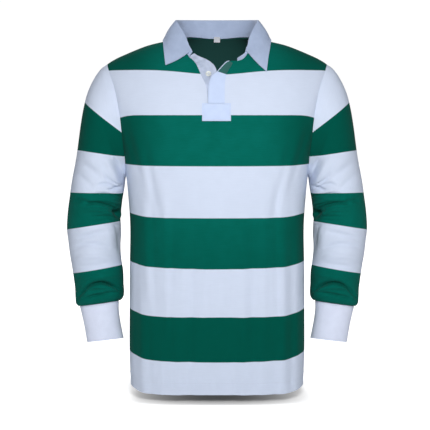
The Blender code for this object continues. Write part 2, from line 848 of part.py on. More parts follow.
def make_label(finish):
    """The small blank size label that hangs inside the back neck."""
    across = np.linspace(-LABEL_HALF_WIDTH, LABEL_HALF_WIDTH, LABEL_COLUMNS)
    x, z = np.meshgrid(across, np.linspace(LABEL_FOOT_Z, LABEL_TOP_Z, LABEL_ROWS))
    y = body_y(x, z, 1) - LABEL_INSET
    face = np.stack((x, y, z), axis=-1) * MM
    behind = face.copy()
    face[..., 1] -= LABEL_THICKNESS
    return place("size_label", wall_mesh("size_label", face, behind), finish)


def clear_scene():
    """An empty scene."""
    for piece in list(bpy.data.objects):
        bpy.data.objects.remove(piece, do_unlink=True)


def main():
    clear_scene()
    make_panel("front", -1, GREEN_JERSEY)
    make_panel("back", 1, GREEN_JERSEY)
    make_sleeve("sleeve_left", 1, WHITE_JERSEY)
    make_sleeve("sleeve_right", -1, WHITE_JERSEY)
    make_cuff("cuff_left", 1, WHITE_TWILL)
    make_cuff("cuff_right", -1, WHITE_TWILL)
    make_collar(WHITE_TWILL)
    make_neck_tape(WHITE_TWILL)
    make_strip("placket_top", PLACKET_TOP, LAP, WHITE_TWILL)
    make_strip("placket_under", PLACKET_UNDER, -(JERSEY + UNDER_LAP + TWILL), WHITE_TWILL)
    make_box(WHITE_TWILL)
    make_button(PEARL)
    make_label(LABEL_TAPE)


main()
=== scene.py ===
# %% [markdown]
# A long-sleeved rugby polo shirt in wide hoops, filled out as worn.
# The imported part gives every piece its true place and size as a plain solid. This file
# makes what the eye sees: each panel of cloth as a fine thin shell with its creases,
# the woven and knitted finishes, and all the sewing.

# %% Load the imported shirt
import json
import math

import bpy
import numpy as np
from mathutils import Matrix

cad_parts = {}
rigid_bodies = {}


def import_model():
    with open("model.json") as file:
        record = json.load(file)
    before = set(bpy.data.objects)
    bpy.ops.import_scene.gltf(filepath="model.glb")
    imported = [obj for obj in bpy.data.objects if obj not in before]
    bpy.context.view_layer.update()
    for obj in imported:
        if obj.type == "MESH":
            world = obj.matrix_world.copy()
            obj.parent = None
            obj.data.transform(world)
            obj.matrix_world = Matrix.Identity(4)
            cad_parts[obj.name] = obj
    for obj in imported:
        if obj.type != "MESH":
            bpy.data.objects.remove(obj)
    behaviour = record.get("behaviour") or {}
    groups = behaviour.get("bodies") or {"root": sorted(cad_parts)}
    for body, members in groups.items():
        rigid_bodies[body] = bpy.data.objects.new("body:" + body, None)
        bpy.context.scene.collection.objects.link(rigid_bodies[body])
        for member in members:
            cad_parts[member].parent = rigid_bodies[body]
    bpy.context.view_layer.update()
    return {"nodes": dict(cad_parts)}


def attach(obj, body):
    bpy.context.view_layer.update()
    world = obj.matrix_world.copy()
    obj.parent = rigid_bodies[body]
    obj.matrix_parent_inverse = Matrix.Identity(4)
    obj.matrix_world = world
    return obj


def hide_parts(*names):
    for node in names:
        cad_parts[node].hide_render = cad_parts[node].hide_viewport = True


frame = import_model()
print("packed nodes:", sorted(frame["nodes"]))

# %% [markdown]
# A pattern cutter keeps sizes in millimetres, and so does this file. Short tables with
# named columns hold the sections of the shirt, and one smooth lookup reads between their
# rows. Cubic pieces are used rather than straight ones, because cloth has no corners.

# %% Tables and smooth lookup
MM = 0.001


def table(columns, rows):
    """Named columns of a short table, as arrays."""
    values = np.array(rows, float)
    return {name: values[:, i] for i, name in enumerate(columns.split())}


def rows_of(source, side=None):
    """The rows of a table one by one, or only those of one side."""
    for n in range(len(next(iter(source.values())))):
        row = {name: column[n] for name, column in source.items()}
        if side is None or row["side"] == side:
            yield row


def cubic(f, values, rises):
    """Smooth value a fraction f of the way between two, from the rises at both."""
    start = (1 + 2 * f) * (1 - f) ** 2 * values[0] + f * (1 - f) ** 2 * rises[0]
    return start + f * f * (3 - 2 * f) * values[1] + f * f * (f - 1) * rises[1]


def along(key, values, at):
    """Smooth value of a table's column where its key column has the value at."""
    at = np.asarray(at, float)
    slopes = np.gradient(values, key)
    i = np.clip(np.searchsorted(key, at) - 1, 0, len(key) - 2)
    step = key[i + 1] - key[i]
    f = np.clip((at - key[i]) / step, 0, 1)
    return cubic(f, (values[i], values[i + 1]), (step * slopes[i], step * slopes[i + 1]))


def between_rows(source, steps):
    """Places at that many steps to each row of a table, and its columns read there."""
    index = np.arange(len(next(iter(source.values()))), dtype=float)
    at = np.linspace(0, index[-1], int(index[-1]) * steps + 1)
    return at, {name: along(index, column, at)[:, None] for name, column in source.items()}


def unit(vectors):
    """Vectors brought to length 1."""
    length = np.linalg.norm(vectors, axis=-1, keepdims=True)
    return vectors / np.maximum(length, 1e-12)


def bell(distance, width):
    """A soft bump: 1 at its middle, fading over a width."""
    return np.exp(-((distance / width) ** 2))


print("smooth lookup halfway:", float(along(np.array([0, 1.0]), np.array([0, 2.0]), 0.5)))

# %% [markdown]
# The body is a front and a back that meet at the side seams, the shoulder seams and the
# armholes. Each is a height field: at every width and height there is one depth. Level
# sections give the girth, and an arch carries the cloth over the chest to the shoulder
# ridge. A cloth simulation could drape it, but would not keep the outline. A height
# field does, and creases are simply added to its depth.

# %% Sizes of the body
JERSEY = 1.7 * MM
TWILL = 1.4 * MM
SEAM = 0.1
HEM_Z = -776.0
UNDERARM_Z = -305.0
SHOULDER_X = 243.5
NECK_X = 80.0
FRONT_ARCH = (-250.0, 2.0)
BACK_ARCH = (-200.0, 2.6)
NAPE_RISE, NAPE_POWER = 40.0, 1.3
HEM_LIFT, HEM_LIFT_REACH, HEM_LIFT_WIDTH = 7.0, 110.0, 22.0

BODY = table(
    "z half_width front back power",
    [
        (-776, 194.5, 121, 100, 3.7),
        (-700, 197.2, 125, 104, 3.3),
        (-600, 197.0, 126, 106, 3.0),
        (-500, 196.0, 125, 106, 2.9),
        (-404, 195.0, 124, 106, 2.8),
        (-350, 198.8, 124, 106, 2.6),
        (-305, 203.0, 125, 107, 2.6),
        (-256, 211.5, 125, 108, 2.5),
        (-223, 221.0, 125, 108, 2.5),
        (-175, 232.0, 125, 108, 2.5),
        (-114, 251.0, 125, 108, 2.5),
        (-72, 265.0, 125, 108, 2.5),
        (70, 315.0, 125, 108, 2.5),
    ],
)
ARMHOLE = table(
    "z x",
    [
        (-305, 203.0),
        (-256, 204.7),
        (-223, 208.0),
        (-175, 212.5),
        (-136, 219.0),
        (-114, 224.0),
        (-72, 238.5),
        (-57, 243.5),
    ],
)
RIDGE = table(
    "x z",
    [
        (0, 1.0),
        (80, 0.0),
        (121, -6.6),
        (157, -15.6),
        (180, -24.3),
        (201.5, -33.3),
        (222, -42.4),
        (243.5, -54.5),
        (300, -86.0),
    ],
)
FRONT_NECK = table(
    "x z",
    [
        (-80.0, 0.0),
        (-78.0, -6.5),
        (-74.5, -17.0),
        (-70.0, -28.0),
        (-65.5, -36.5),
        (-61.0, -43.0),
        (-54.0, -48.5),
        (-47.5, -55.5),
        (-41.3, -66.5),
        (-34.2, -83.0),
        (-27.2, -97.5),
        (-22.6, -111.0),
        (-20.9, -128.0),
        (-20.4, -146.0),
        (-18.0, -146.0),
        (-17.6, -122.0),
        (-15.6, -100.0),
        (-9.6, -87.0),
        (0.8, -77.5),
        (10.6, -66.4),
        (20.4, -56.3),
        (31.0, -51.8),
        (44.0, -51.5),
        (54.0, -48.5),
        (61.0, -43.0),
        (65.5, -36.5),
        (70.0, -28.0),
        (74.5, -17.0),
        (78.0, -6.5),
        (80.0, 0.0),
    ],
)
BACK_NECK = table(
    "x z",
    [
        (80.0, 0.0),
        (77.0, 1.6),
        (71.0, 3.6),
        (62.0, 5.0),
        (50.0, 5.4),
        (34.0, 4.8),
        (17.0, 3.9),
        (0.0, 3.6),
    ],
)
print("half the chest's width, mm:", float(along(BODY["z"], BODY["half_width"], UNDERARM_Z)))

# %% [markdown]
# Worn cloth is never smooth. Each crease is one row: a line it follows, how wide it is
# and how far it stands out or sinks in. They are uneven on purpose, because drag lines
# start at a seam and die out in the open cloth. A bump in the material could fake them,
# but only real form turns the light as cloth does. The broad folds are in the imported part
# too, and the narrow creases and the hem's puckers are added here.

# %% Creases of the body
FOLDS = table(
    "side x_top z_top x_foot z_foot width height",
    [
        (-1, -168, -190, -128, -330, 22, 3.0),
        (-1, 168, -190, 130, -320, 22, 3.0),
        (-1, -146, -470, -152, -776, 20, 3.0),
        (-1, -92, -500, -104, -776, 17, 2.6),
        (-1, 48, -540, 56, -776, 18, 2.4),
        (-1, 140, -420, 150, -776, 20, 3.0),
        (1, -150, -200, -110, -360, 26, 3.2),
        (1, 150, -200, 114, -350, 26, 3.2),
        (1, -60, -480, -84, -776, 24, 3.0),
        (1, 30, -520, 44, -776, 22, 2.6),
        (1, 128, -440, 140, -776, 22, 3.0),
    ],
)
CREASES = table(
    "side x_top z_top x_foot z_foot width height",
    [
        (-1, -196, -196, -170, -290, 7, -3.0),
        (-1, -184, -190, -152, -330, 9, 2.2),
        (-1, -160, -210, -126, -380, 8, -2.6),
        (-1, -162, -320, -154, -520, 8, 2.2),
        (-1, -142, -300, -136, -560, 8, -2.8),
        (-1, -114, -330, -112, -600, 9, 2.0),
        (-1, -95, -400, -100, -640, 7, -1.8),
        (-1, -72, -430, -76, -600, 8, 1.5),
        (-1, -51, -400, -56, -650, 8, -2.2),
        (-1, -24, -430, -30, -610, 9, 1.5),
        (-1, 4, -470, 8, -640, 9, -1.1),
        (-1, 28, -420, 32, -600, 8, -1.4),
        (-1, 55, -380, 58, -620, 9, 2.0),
        (-1, 76, -390, 77, -640, 8, -2.2),
        (-1, 102, -330, 104, -600, 9, 2.0),
        (-1, 126, -300, 130, -560, 8, -2.8),
        (-1, 146, -420, 146, -700, 8, 2.0),
        (-1, 160, -210, 124, -370, 8, -2.6),
        (-1, 184, -190, 150, -320, 9, 2.2),
        (-1, 196, -196, 168, -296, 7, -3.0),
        (-1, 163, -400, 164, -776, 8, -2.4),
        (-1, 178, -420, 178, -776, 6, 1.8),
        (-1, -176, -400, -178, -700, 6, -2.0),
        (-1, -165, -560, -164, -776, 7, 2.2),
        (-1, -148, -580, -146, -776, 7, -2.4),
        (-1, -120, -640, -122, -776, 8, 1.4),
        (-1, -86, -620, -88, -776, 9, 1.8),
        (-1, -60, -640, -60, -776, 8, -1.5),
        (-1, 40, -650, 42, -776, 9, -1.4),
        (-1, 94, -620, 98, -776, 9, 1.8),
        (-1, 122, -620, 124, -776, 8, -1.8),
        (1, -190, -190, -160, -300, 8, -3.0),
        (1, 190, -186, 162, -290, 8, -2.8),
        (1, -40, -40, -96, -130, 14, 2.0),
        (1, 44, -44, 100, -140, 14, 1.8),
        (1, -150, -300, -140, -560, 9, -2.6),
        (1, -120, -470, -132, -776, 9, -2.2),
        (1, -92, -380, -98, -640, 9, 2.0),
        (1, -48, -420, -44, -700, 9, -1.8),
        (1, -20, -520, -16, -776, 10, -1.8),
        (1, 12, -360, 18, -600, 10, 1.8),
        (1, 60, -400, 66, -660, 9, -2.0),
        (1, 84, -500, 92, -776, 10, 2.0),
        (1, 112, -340, 118, -620, 9, -2.4),
        (1, 160, -420, 166, -776, 9, -2.4),
        (1, 178, -380, 180, -700, 7, 2.0),
    ],
)
CREASE_DEPTH = 1.1
PUCKERS = table(
    "wave_length height start",
    [
        (15.0, 0.30, 0.0),
        (23.0, 0.26, 5.0),
        (9.5, 0.14, 2.0),
    ],
)
PUCKER_REACH = 16.0
HEM_STITCH = 26.0
CREASE_OVERRUN = 0.3
CREASE_MIDDLE, CREASE_HALF, CREASE_END = 0.6, 0.3, 12


def hem_puckers(x, z):
    """Small waves that the hem's stitching draws into the cloth."""
    total = np.zeros(np.broadcast(x, z).shape)
    for row in rows_of(PUCKERS):
        turn = 2 * math.pi * (x - row["start"]) / row["wave_length"]
        total = total + row["height"] * np.sin(turn)
    return total * bell(z - HEM_Z - HEM_STITCH, PUCKER_REACH)


def crease_height(source, x, z, side):
    """How far the creases of one table lift the cloth at x and z."""
    total = np.zeros(np.broadcast(x, z).shape)
    for row in rows_of(source, side):
        run = (row["z_top"] - z) / (row["z_top"] - row["z_foot"])
        run = np.clip(run, -CREASE_OVERRUN, 1 + CREASE_OVERRUN)
        centre = row["x_top"] + run * (row["x_foot"] - row["x_top"])
        past = np.clip(np.abs(run - CREASE_MIDDLE) - CREASE_HALF, 0, 1)
        ends = np.exp(-(past**2) * CREASE_END)
        total = total + row["height"] * bell(x - centre, row["width"]) * ends
    return total


print("creases on the body:", len(FOLDS["side"]) + len(CREASES["side"]))

# %% [markdown]
# The height field itself. A rounded section is full in its middle and turns in at its
# ends, more squarely with a higher power. One rounding across the width and one up the
# chest make the whole torso.

# %% Depth of the body


def rounding(ratio, power):
    """Depth of a rounded section, from 1 at its middle to 0 at its end."""
    return (1 - np.clip(np.abs(ratio), 0, 1) ** power) ** (1 / power)


def ridge_z(x, side):
    """Height of the shoulder ridge. Behind the neck it rises to the nape."""
    height = along(RIDGE["x"], RIDGE["z"], np.abs(x))
    if side > 0:
        inside = np.clip(1 - (x / NECK_X) ** 2, 0, 1)
        height = height + NAPE_RISE * inside**NAPE_POWER
    return height


def body_y(x, z, side):
    """Depth of the body's outer face at x and z: -1 is the front, 1 is the back."""
    width = along(BODY["z"], BODY["half_width"], z)
    power = along(BODY["z"], BODY["power"], z)
    depth = along(BODY["z"], BODY["front" if side < 0 else "back"], z)
    start, arch_power = FRONT_ARCH if side < 0 else BACK_ARCH
    up = np.clip((z - start) / (ridge_z(x, side) - start), 0, 1)
    depth = depth + crease_height(FOLDS, x, z, side) + hem_puckers(x, z)
    depth = depth + crease_height(CREASES, x, z, side) * CREASE_DEPTH
    return side * (SEAM / 2 + depth * rounding(x / width, power) * rounding(up, arch_power))


print("depth of the chest:", float(body_y(0.0, -250.0, -1)))

# %% [markdown]
# Every sheet here is a grid of points in rows and columns. A rough grid is read smoothly
# between its points, and the steps to a point's neighbours give the way the cloth faces.

# %% Grids


def differences(grid, axis, closed):
    """Steps from each point's neighbour on one side to that on the other."""
    if closed:
        return np.roll(grid, -1, axis) - np.roll(grid, 1, axis)
    return np.gradient(grid, axis=axis)


def grid_normals(grid, closed=False):
    """Normals of a grid of rows and columns, facing columns x rows."""
    return unit(np.cross(differences(grid, 1, closed), differences(grid, 0, False)))


def refine(grid, rows, columns):
    """A grid read smoothly at that many steps for each of its own."""
    for axis, times in ((0, rows), (1, columns)):
        count = grid.shape[axis]
        at = np.linspace(0, count - 1, (count - 1) * times + 1)
        moved = np.moveaxis(grid, axis, 0)
        shape = (-1,) + (1,) * (grid.ndim - 1)
        i = np.clip(at.astype(int), 0, count - 2)
        f = (at - i).reshape(shape)
        slopes = np.gradient(moved, axis=0)
        moved = cubic(f, (moved[i], moved[i + 1]), (slopes[i], slopes[i + 1]))
        grid = np.moveaxis(moved, 0, axis)
    return grid


print("a grid of 3 by 3, refined:", refine(np.zeros((3, 3)), 2, 4).shape)

# %% [markdown]
# One function turns any of those grids into a closed thin wall. It also stores two things
# for the finish: how far along the yarns each point lies, and where it lies in the hoops.
# The outer faces are kept by name, because the sewing follows them later. A Solidify
# modifier could give the thickness, but with the inner face worked out as well, the edge
# of one piece can be fitted to the next.

# %% Walls of cloth
CLOTH_CORNER, TURNED_CORNER = 60, 50


def yarn_places(grid, closed):
    """Distance along the courses and down the wales at each point, in metres."""
    across = np.linalg.norm(np.diff(grid, axis=1), axis=-1)
    across = np.concatenate((np.zeros((len(grid), 1)), np.cumsum(across, axis=1)), axis=1)
    if not closed:
        across = across - across[:, across.shape[1] // 2][:, None]
    down = np.linalg.norm(np.diff(grid, axis=0), axis=-1)
    down = np.concatenate((np.zeros((1, grid.shape[1])), np.cumsum(down, axis=0)), axis=0)
    return np.stack((across, down, np.zeros_like(down)), axis=-1)


def wall_faces(rows, columns, closed):
    """Faces of a closed wall whose outer and inner grids have these rows and columns."""
    shift = rows * columns
    last = columns if closed else columns - 1
    r, c = np.meshgrid(np.arange(rows - 1), np.arange(last), indexing="ij")
    a = (r * columns + c).ravel()
    b = (r * columns + (c + 1) % columns).ravel()
    sides = [np.stack((a, b, b + columns, a + columns), axis=1)]
    sides.append(np.stack((a, a + columns, b + columns, b), axis=1) + shift)
    c = np.arange(last)
    a, b = c, (c + 1) % columns
    sides.append(np.stack((b, a, a + shift, b + shift), axis=1))
    a, b = a + (rows - 1) * columns, b + (rows - 1) * columns
    sides.append(np.stack((a, b, b + shift, a + shift), axis=1))
    if not closed:
        a = np.arange(rows - 1) * columns
        sides.append(np.stack((a, a + columns, a + columns + shift, a + shift), axis=1))
        a = a + columns - 1
        sides.append(np.stack((a + columns, a, a + shift, a + columns + shift), axis=1))
    return np.concatenate(sides)


def add_piece(mesh, finish, corner):
    """A mesh as a piece of the shirt, with sharp edges where faces turn over an angle."""
    mesh.materials.append(finish)
    mesh.shade_smooth()
    mesh.set_sharp_from_angle(angle=math.radians(corner))
    piece = bpy.data.objects.new(mesh.name, mesh)
    bpy.context.scene.collection.objects.link(piece)
    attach(piece, "root")
    print(mesh.name, "has", len(mesh.polygons), "faces")
    return piece


skins = {}


def make_wall(name, outer, inner, finish, closed=False, hoop=None):
    """A closed thin wall of cloth in metres, with its yarn places and hoops."""
    skins[name] = (outer, unit(outer - inner))
    rows, columns = outer.shape[:2]
    points = np.concatenate((outer.reshape(-1, 3), inner.reshape(-1, 3)))
    mesh = bpy.data.meshes.new(name)
    mesh.from_pydata(points.tolist(), [], wall_faces(rows, columns, closed).tolist())
    yarn = yarn_places(outer, closed).reshape(-1, 3)
    layer = mesh.attributes.new("yarn", "FLOAT_VECTOR", "POINT")
    layer.data.foreach_set("vector", np.concatenate((yarn, yarn)).ravel())
    layer = mesh.attributes.new("inside", "FLOAT", "POINT")
    layer.data.foreach_set("value", np.repeat((0.0, 1.0), rows * columns))
    if hoop is not None:
        layer = mesh.attributes.new("hoop", "FLOAT", "POINT")
        layer.data.foreach_set("value", np.concatenate((hoop.ravel(), hoop.ravel())))
    return add_piece(mesh, finish, CLOTH_CORNER)


print("a wall of 3 by 3 points has", len(wall_faces(3, 3, False)), "faces")

# %% [markdown]
# Shader maths reads best as plain arithmetic. The class below wraps one output of a node,
# and each operator adds the Math node it stands for. Colours are mixed by a Mix node,
# since a Math node would turn them grey.

# %% Shader maths


class Value:
    """A number that changes over a surface, as the output of a node."""

    def __init__(self, tree, socket):
        self.tree, self.socket = tree, socket

    def maths(self, operation, *others):
        node = self.tree.node("ShaderNodeMath", {"operation": operation}, self, *others)
        return Value(self.tree, node.outputs[0])

    def swapped(self, operation, other):
        node = self.tree.node("ShaderNodeMath", {"operation": operation}, other, self)
        return Value(self.tree, node.outputs[0])

    def __add__(self, other):
        return self.maths("ADD", other)

    def __radd__(self, other):
        return self.swapped("ADD", other)

    def __sub__(self, other):
        return self.maths("SUBTRACT", other)

    def __rsub__(self, other):
        return self.swapped("SUBTRACT", other)

    def __mul__(self, other):
        return self.maths("MULTIPLY", other)

    def __rmul__(self, other):
        return self.swapped("MULTIPLY", other)

    def __truediv__(self, other):
        return self.maths("DIVIDE", other)

    def __abs__(self):
        return self.maths("ABSOLUTE")

    def part(self):
        """What is left over a whole number."""
        return self.maths("FRACT")

    def ramp(self, low, high):
        """0 below low, 1 above high, and smooth between them."""
        settings = {"interpolation_type": "SMOOTHSTEP"}
        node = self.tree.node("ShaderNodeMapRange", settings, self, low, high, 0.0, 1.0)
        return Value(self.tree, node.outputs[0])


class Tree:
    """The nodes of a material or of the room."""

    def __init__(self, owner):
        owner.use_nodes = True
        self.nodes = owner.node_tree.nodes
        self.links = owner.node_tree.links

    def node(self, kind, settings, *values):
        """A node of a kind, with its settings, and values or links for its sockets."""
        made = self.nodes.new(kind)
        for name, setting in settings.items():
            setattr(made, name, setting)
        sockets = [socket for socket in made.inputs if socket.enabled]
        for socket, value in zip(sockets, values):
            self.put(socket, value)
        return made

    def put(self, socket, value):
        """A value or a link into one socket."""
        if isinstance(value, Value):
            value = value.socket
        if isinstance(value, bpy.types.NodeSocket):
            self.links.new(value, socket)
        elif value is not None:
            socket.default_value = value


class Finish(Tree):
    """One material, built from nodes."""

    def __init__(self, name, roughness, specular, sheen=0.0):
        self.material = bpy.data.materials.new(name)
        super().__init__(self.material)
        self.shader = self.nodes["Principled BSDF"]
        self.shader.inputs["Roughness"].default_value = roughness
        self.shader.inputs["Specular IOR Level"].default_value = specular
        self.shader.inputs["Sheen Weight"].default_value = sheen
        self.shader.inputs["Sheen Roughness"].default_value = 0.5

    def stored(self, name):
        """What the mesh stores under a name."""
        return self.node("ShaderNodeAttribute", {"attribute_name": name})

    def yarn(self):
        """Millimetres along the courses and down the wales."""
        node = self.stored("yarn")
        split = self.node("ShaderNodeSeparateXYZ", {}, node.outputs["Vector"])
        return [Value(self, split.outputs[i]) / MM for i in (0, 1)]

    def number(self, name):
        """A number that the mesh stores, such as the hoop, or 1 on the inside."""
        return Value(self, self.stored(name).outputs["Fac"])

    def noise(self, scale, detail=3.0):
        """Soft noise over the object, scale being bumps to the metre."""
        place = self.node("ShaderNodeTexCoord", {}).outputs["Object"]
        made = self.node("ShaderNodeTexNoise", {}, place, scale, detail)
        return Value(self, made.outputs["Fac"])

    def streaks(self):
        """Noise drawn out along the courses."""
        across, down = self.yarn()
        place = self.node("ShaderNodeCombineXYZ", {}, across / STREAK_LENGTH, down / STREAK_WIDTH)
        made = self.node("ShaderNodeTexNoise", {}, place.outputs[0], 1.0, 2.0)
        return Value(self, made.outputs["Fac"])

    def mix(self, share, first, second):
        """Two colours mixed by a share."""
        settings = {"data_type": "RGBA"}
        made = self.node("ShaderNodeMix", settings, share, first, second)
        return made.outputs["Result"]

    def colour(self, value):
        self.put(self.shader.inputs["Base Color"], value)

    def rough(self, value):
        self.put(self.shader.inputs["Roughness"], value)

    def bump(self, height, depth, strength=1.0):
        """Relief of that depth in metres."""
        made = self.nodes.new("ShaderNodeBump")
        made.inputs["Strength"].default_value = strength
        made.inputs["Distance"].default_value = depth
        self.put(made.inputs["Height"], height)
        self.links.new(made.outputs["Normal"], self.shader.inputs["Normal"])


def linear(*screen):
    """The light of a colour given as red, green and blue screen values from 0 to 255."""
    values = []
    for v in (value / 255 for value in screen):
        values.append(v / 12.92 if v <= 0.04045 else ((v + 0.055) / 1.055) ** 2.4)
    return (*values, 1.0)


print("middle grey as light:", round(linear(128, 128, 128)[0], 3))

# %% [markdown]
# The cloth of the body and sleeves is a heavy cotton jersey. Its face shows columns of
# small Vs about a millimetre wide. The hoops are knitted in, so one cloth changes colour
# from course to course, and the change follows the stored hoop number exactly. The green
# is paler over the chest and painted deeper toward the sides, the upper arms and the hem:
# that is painted shade, for the light falling off there, and there is less of it on the
# lower sleeves. The wrong side is duller and much darker, partly its own duller face and
# partly painted shade inside the shirt. Long faint streaks along the courses come from
# uneven yarn. An image of knitting could be laid on instead, but arithmetic on the yarn
# places never shows its edge or repeats a flaw.

# %% Hooped jersey
WALE, COURSE = 1.1, 0.9
KNIT_DEPTH = 0.25 * MM
CLOUDS, FUZZ = 35.0, 900.0
HOOP_EDGE = 0.006
JERSEY_GREEN = linear(2, 94, 82)
JERSEY_GREEN_SOFT = linear(6, 102, 91)
# Painted shade: the deeper green toward the sides, the upper arms and the hem.
JERSEY_GREEN_PAINTED_SHADE = linear(0, 76, 64)
PAINTED_SHADE_FROM, PAINTED_SHADE_TO = 2.0, 5.4
PAINTED_SHADE_FROM_X, PAINTED_SHADE_TO_X = 0.085, 0.200
SLEEVE_FROM_X, SLEEVE_TO_X = 0.200, 0.240
LOWER_SLEEVE_FROM, LOWER_SLEEVE_TO = 2.0, 3.0
PAINTED_SHADE_SHARE, SLEEVE_PAINTED_SHADE_FADE = 0.85, 0.7
STREAK_LENGTH, STREAK_WIDTH = 30.0, 1.6
JERSEY_WHITE = linear(206, 216, 235)
JERSEY_WHITE_SOFT = linear(202, 212, 231)
# The wrong side: its own duller face, and painted shade for the inside of the shirt.
WRONG_SIDE_DULL_AND_SHADED_GREEN = linear(34, 72, 68)
WRONG_SIDE_DULL_AND_SHADED_WHITE = linear(122, 128, 142)


def knit_height(finish):
    """Relief of the knitted face: slanted legs of the loops on both sides of a wale."""
    across, down = finish.yarn()
    wale = abs((across / WALE).part() - 0.5) * 2
    leg = abs((down / COURSE + wale * 0.5).part() - 0.5) * 2
    return (1 - wale * wale) * 0.7 + leg * 0.3


def make_jersey():
    """Green and white hoops with a matt knitted face."""
    finish = Finish("hooped_jersey", 0.9, 0.02, 0.02)
    turn = abs((finish.number("hoop") / 2 + 0.25).part() - 0.5) * 2
    white = (1 - turn).ramp(0.5 - HOOP_EDGE, 0.5 + HOOP_EDGE)
    cloud = finish.noise(CLOUDS, 4.0).ramp(0.3, 0.7) * 0.5
    cloud = cloud + finish.streaks().ramp(0.35, 0.65) * 0.5
    inside = finish.number("inside")
    place = finish.node("ShaderNodeTexCoord", {}).outputs["Object"]
    sideways = abs(Value(finish, finish.node("ShaderNodeSeparateXYZ", {}, place).outputs["X"]))
    # Painted shade: the green is deepened toward the hem and the sides, and less so on the lower
    # sleeves.
    low = finish.number("hoop").ramp(PAINTED_SHADE_FROM, PAINTED_SHADE_TO)
    painted_shade = low.maths("MAXIMUM", sideways.ramp(PAINTED_SHADE_FROM_X, PAINTED_SHADE_TO_X))
    below = finish.number("hoop").ramp(LOWER_SLEEVE_FROM, LOWER_SLEEVE_TO)
    lower_sleeve = sideways.ramp(SLEEVE_FROM_X, SLEEVE_TO_X) * below
    painted_shade = painted_shade * (1 - lower_sleeve * SLEEVE_PAINTED_SHADE_FADE)
    green = finish.mix(cloud, JERSEY_GREEN, JERSEY_GREEN_SOFT)
    green = finish.mix(painted_shade * PAINTED_SHADE_SHARE, green, JERSEY_GREEN_PAINTED_SHADE)
    # The wrong side is darkened: its duller face and painted shade.
    green = finish.mix(inside, green, WRONG_SIDE_DULL_AND_SHADED_GREEN)
    pale = finish.mix(cloud, JERSEY_WHITE, JERSEY_WHITE_SOFT)
    pale = finish.mix(inside, pale, WRONG_SIDE_DULL_AND_SHADED_WHITE)
    finish.colour(finish.mix(white, green, pale))
    finish.rough(0.86 + cloud * 0.08)
    fuzz = finish.noise(FUZZ, 2.0)
    finish.bump(knit_height(finish) + fuzz * 0.4, KNIT_DEPTH, 0.6)
    return finish.material


hooped_jersey = make_jersey()
print("jersey nodes:", len(hooped_jersey.node_tree.nodes))

# %% [markdown]
# The collar, cuffs, placket and box patch are white cotton twill, a weave with fine
# slanted ribs, which come from adding both yarn places. It is a little bluer than the
# jersey, and pressed smooth. The collar, the neck tape and the under placket are the
# same cloth painted darker than the cuffs: that darker tone is painted shade, for the
# shade they lie in about the neck.

# %% White twill
TWILL_RIB = 0.9
TWILL_DEPTH = 0.2 * MM
TWILL_CLOUDS, SLUBS = 60.0, 400.0
TWILL_WHITE = linear(196, 211, 240)
TWILL_SOFT = linear(192, 207, 237)
# Painted shade: the twill of the collar and neck tape is painted darker than the cuffs.
SHADED_COLLAR_WHITE = linear(174, 189, 217)
SHADED_COLLAR_SOFT = linear(168, 183, 212)
CUFF_WHITE = linear(220, 227, 247)
CUFF_SOFT = linear(216, 223, 243)
# Painted shade: the under placket's twill is painted darker, for the shade of the open neck.
SHADED_UNDER_WHITE = linear(194, 204, 226)
SHADED_UNDER_SOFT = linear(170, 181, 203)
FLAP_GREEN = linear(48, 96, 92)


def make_twill(name, light, shade, rumples=1.0, flap=False):
    """Twill with slanted ribs, soft clouds and faint streaks. A flap shows its green turning."""
    finish = Finish(name, 0.8, 0.15, 0.05)
    across, down = finish.yarn()
    rib = abs(((across + down) / TWILL_RIB).part() - 0.5) * 2
    cloud = finish.noise(TWILL_CLOUDS, 4.0).ramp(0.3, 0.7)
    cloth = finish.mix(cloud, light, shade)
    if flap:
        cloth = finish.mix(finish.number("hoop").ramp(-0.4, 0.4), cloth, FLAP_GREEN)
    finish.colour(cloth)
    slub = finish.noise(SLUBS, 2.0)
    rumple = finish.streaks().ramp(0.3, 0.7)
    finish.bump(rib * 0.6 + slub * 0.5 + rumple * rumples, TWILL_DEPTH, 0.5)
    return finish.material


white_twill = make_twill("white_twill", TWILL_WHITE, TWILL_SOFT)
# Painted shade in the darker twill of the collar and neck tape.
shaded_collar_twill = make_twill("shaded_collar_twill", SHADED_COLLAR_WHITE, SHADED_COLLAR_SOFT, rumples=4.0)
cuff_twill = make_twill("cuff_twill", CUFF_WHITE, CUFF_SOFT)
# Painted shade in the darker twill of the under placket.
shaded_under_twill = make_twill("shaded_under_twill", SHADED_UNDER_WHITE, SHADED_UNDER_SOFT)
flap_twill = make_twill("flap_twill", TWILL_WHITE, TWILL_SOFT, flap=True)
print("twill nodes:", len(white_twill.node_tree.nodes))

# %% [markdown]
# The hoops are level on the body. The table gives the heights where the colour changes:
# each is one more in the hoop number. At the chest the lines dip a little in the middle,
# because the cloth there falls forward from the shoulders. At the sides they are hitched,
# down beside the armholes and up toward the hem.

# %% Hoops of the body
BODY_HOOPS = table(
    "z dip hitch number",
    [
        (-776.0, 0.0, 9.0, 6.70),
        (-701.0, 2.0, 9.0, 6.0),
        (-604.0, 0.0, 7.0, 5.0),
        (-497.0, 2.5, 6.0, 4.0),
        (-389.0, 0.0, 5.0, 3.0),
        (-277.5, 0.0, 2.0, 2.0),
        (-168.5, 0.0, -9.0, 1.0),
        (-70.8, 12.2, 0.0, 0.0),
        (60.0, 12.2, 0.0, -1.3),
    ],
)
DIP_WIDTH = 90.0
HITCH_WIDTH = 30.0


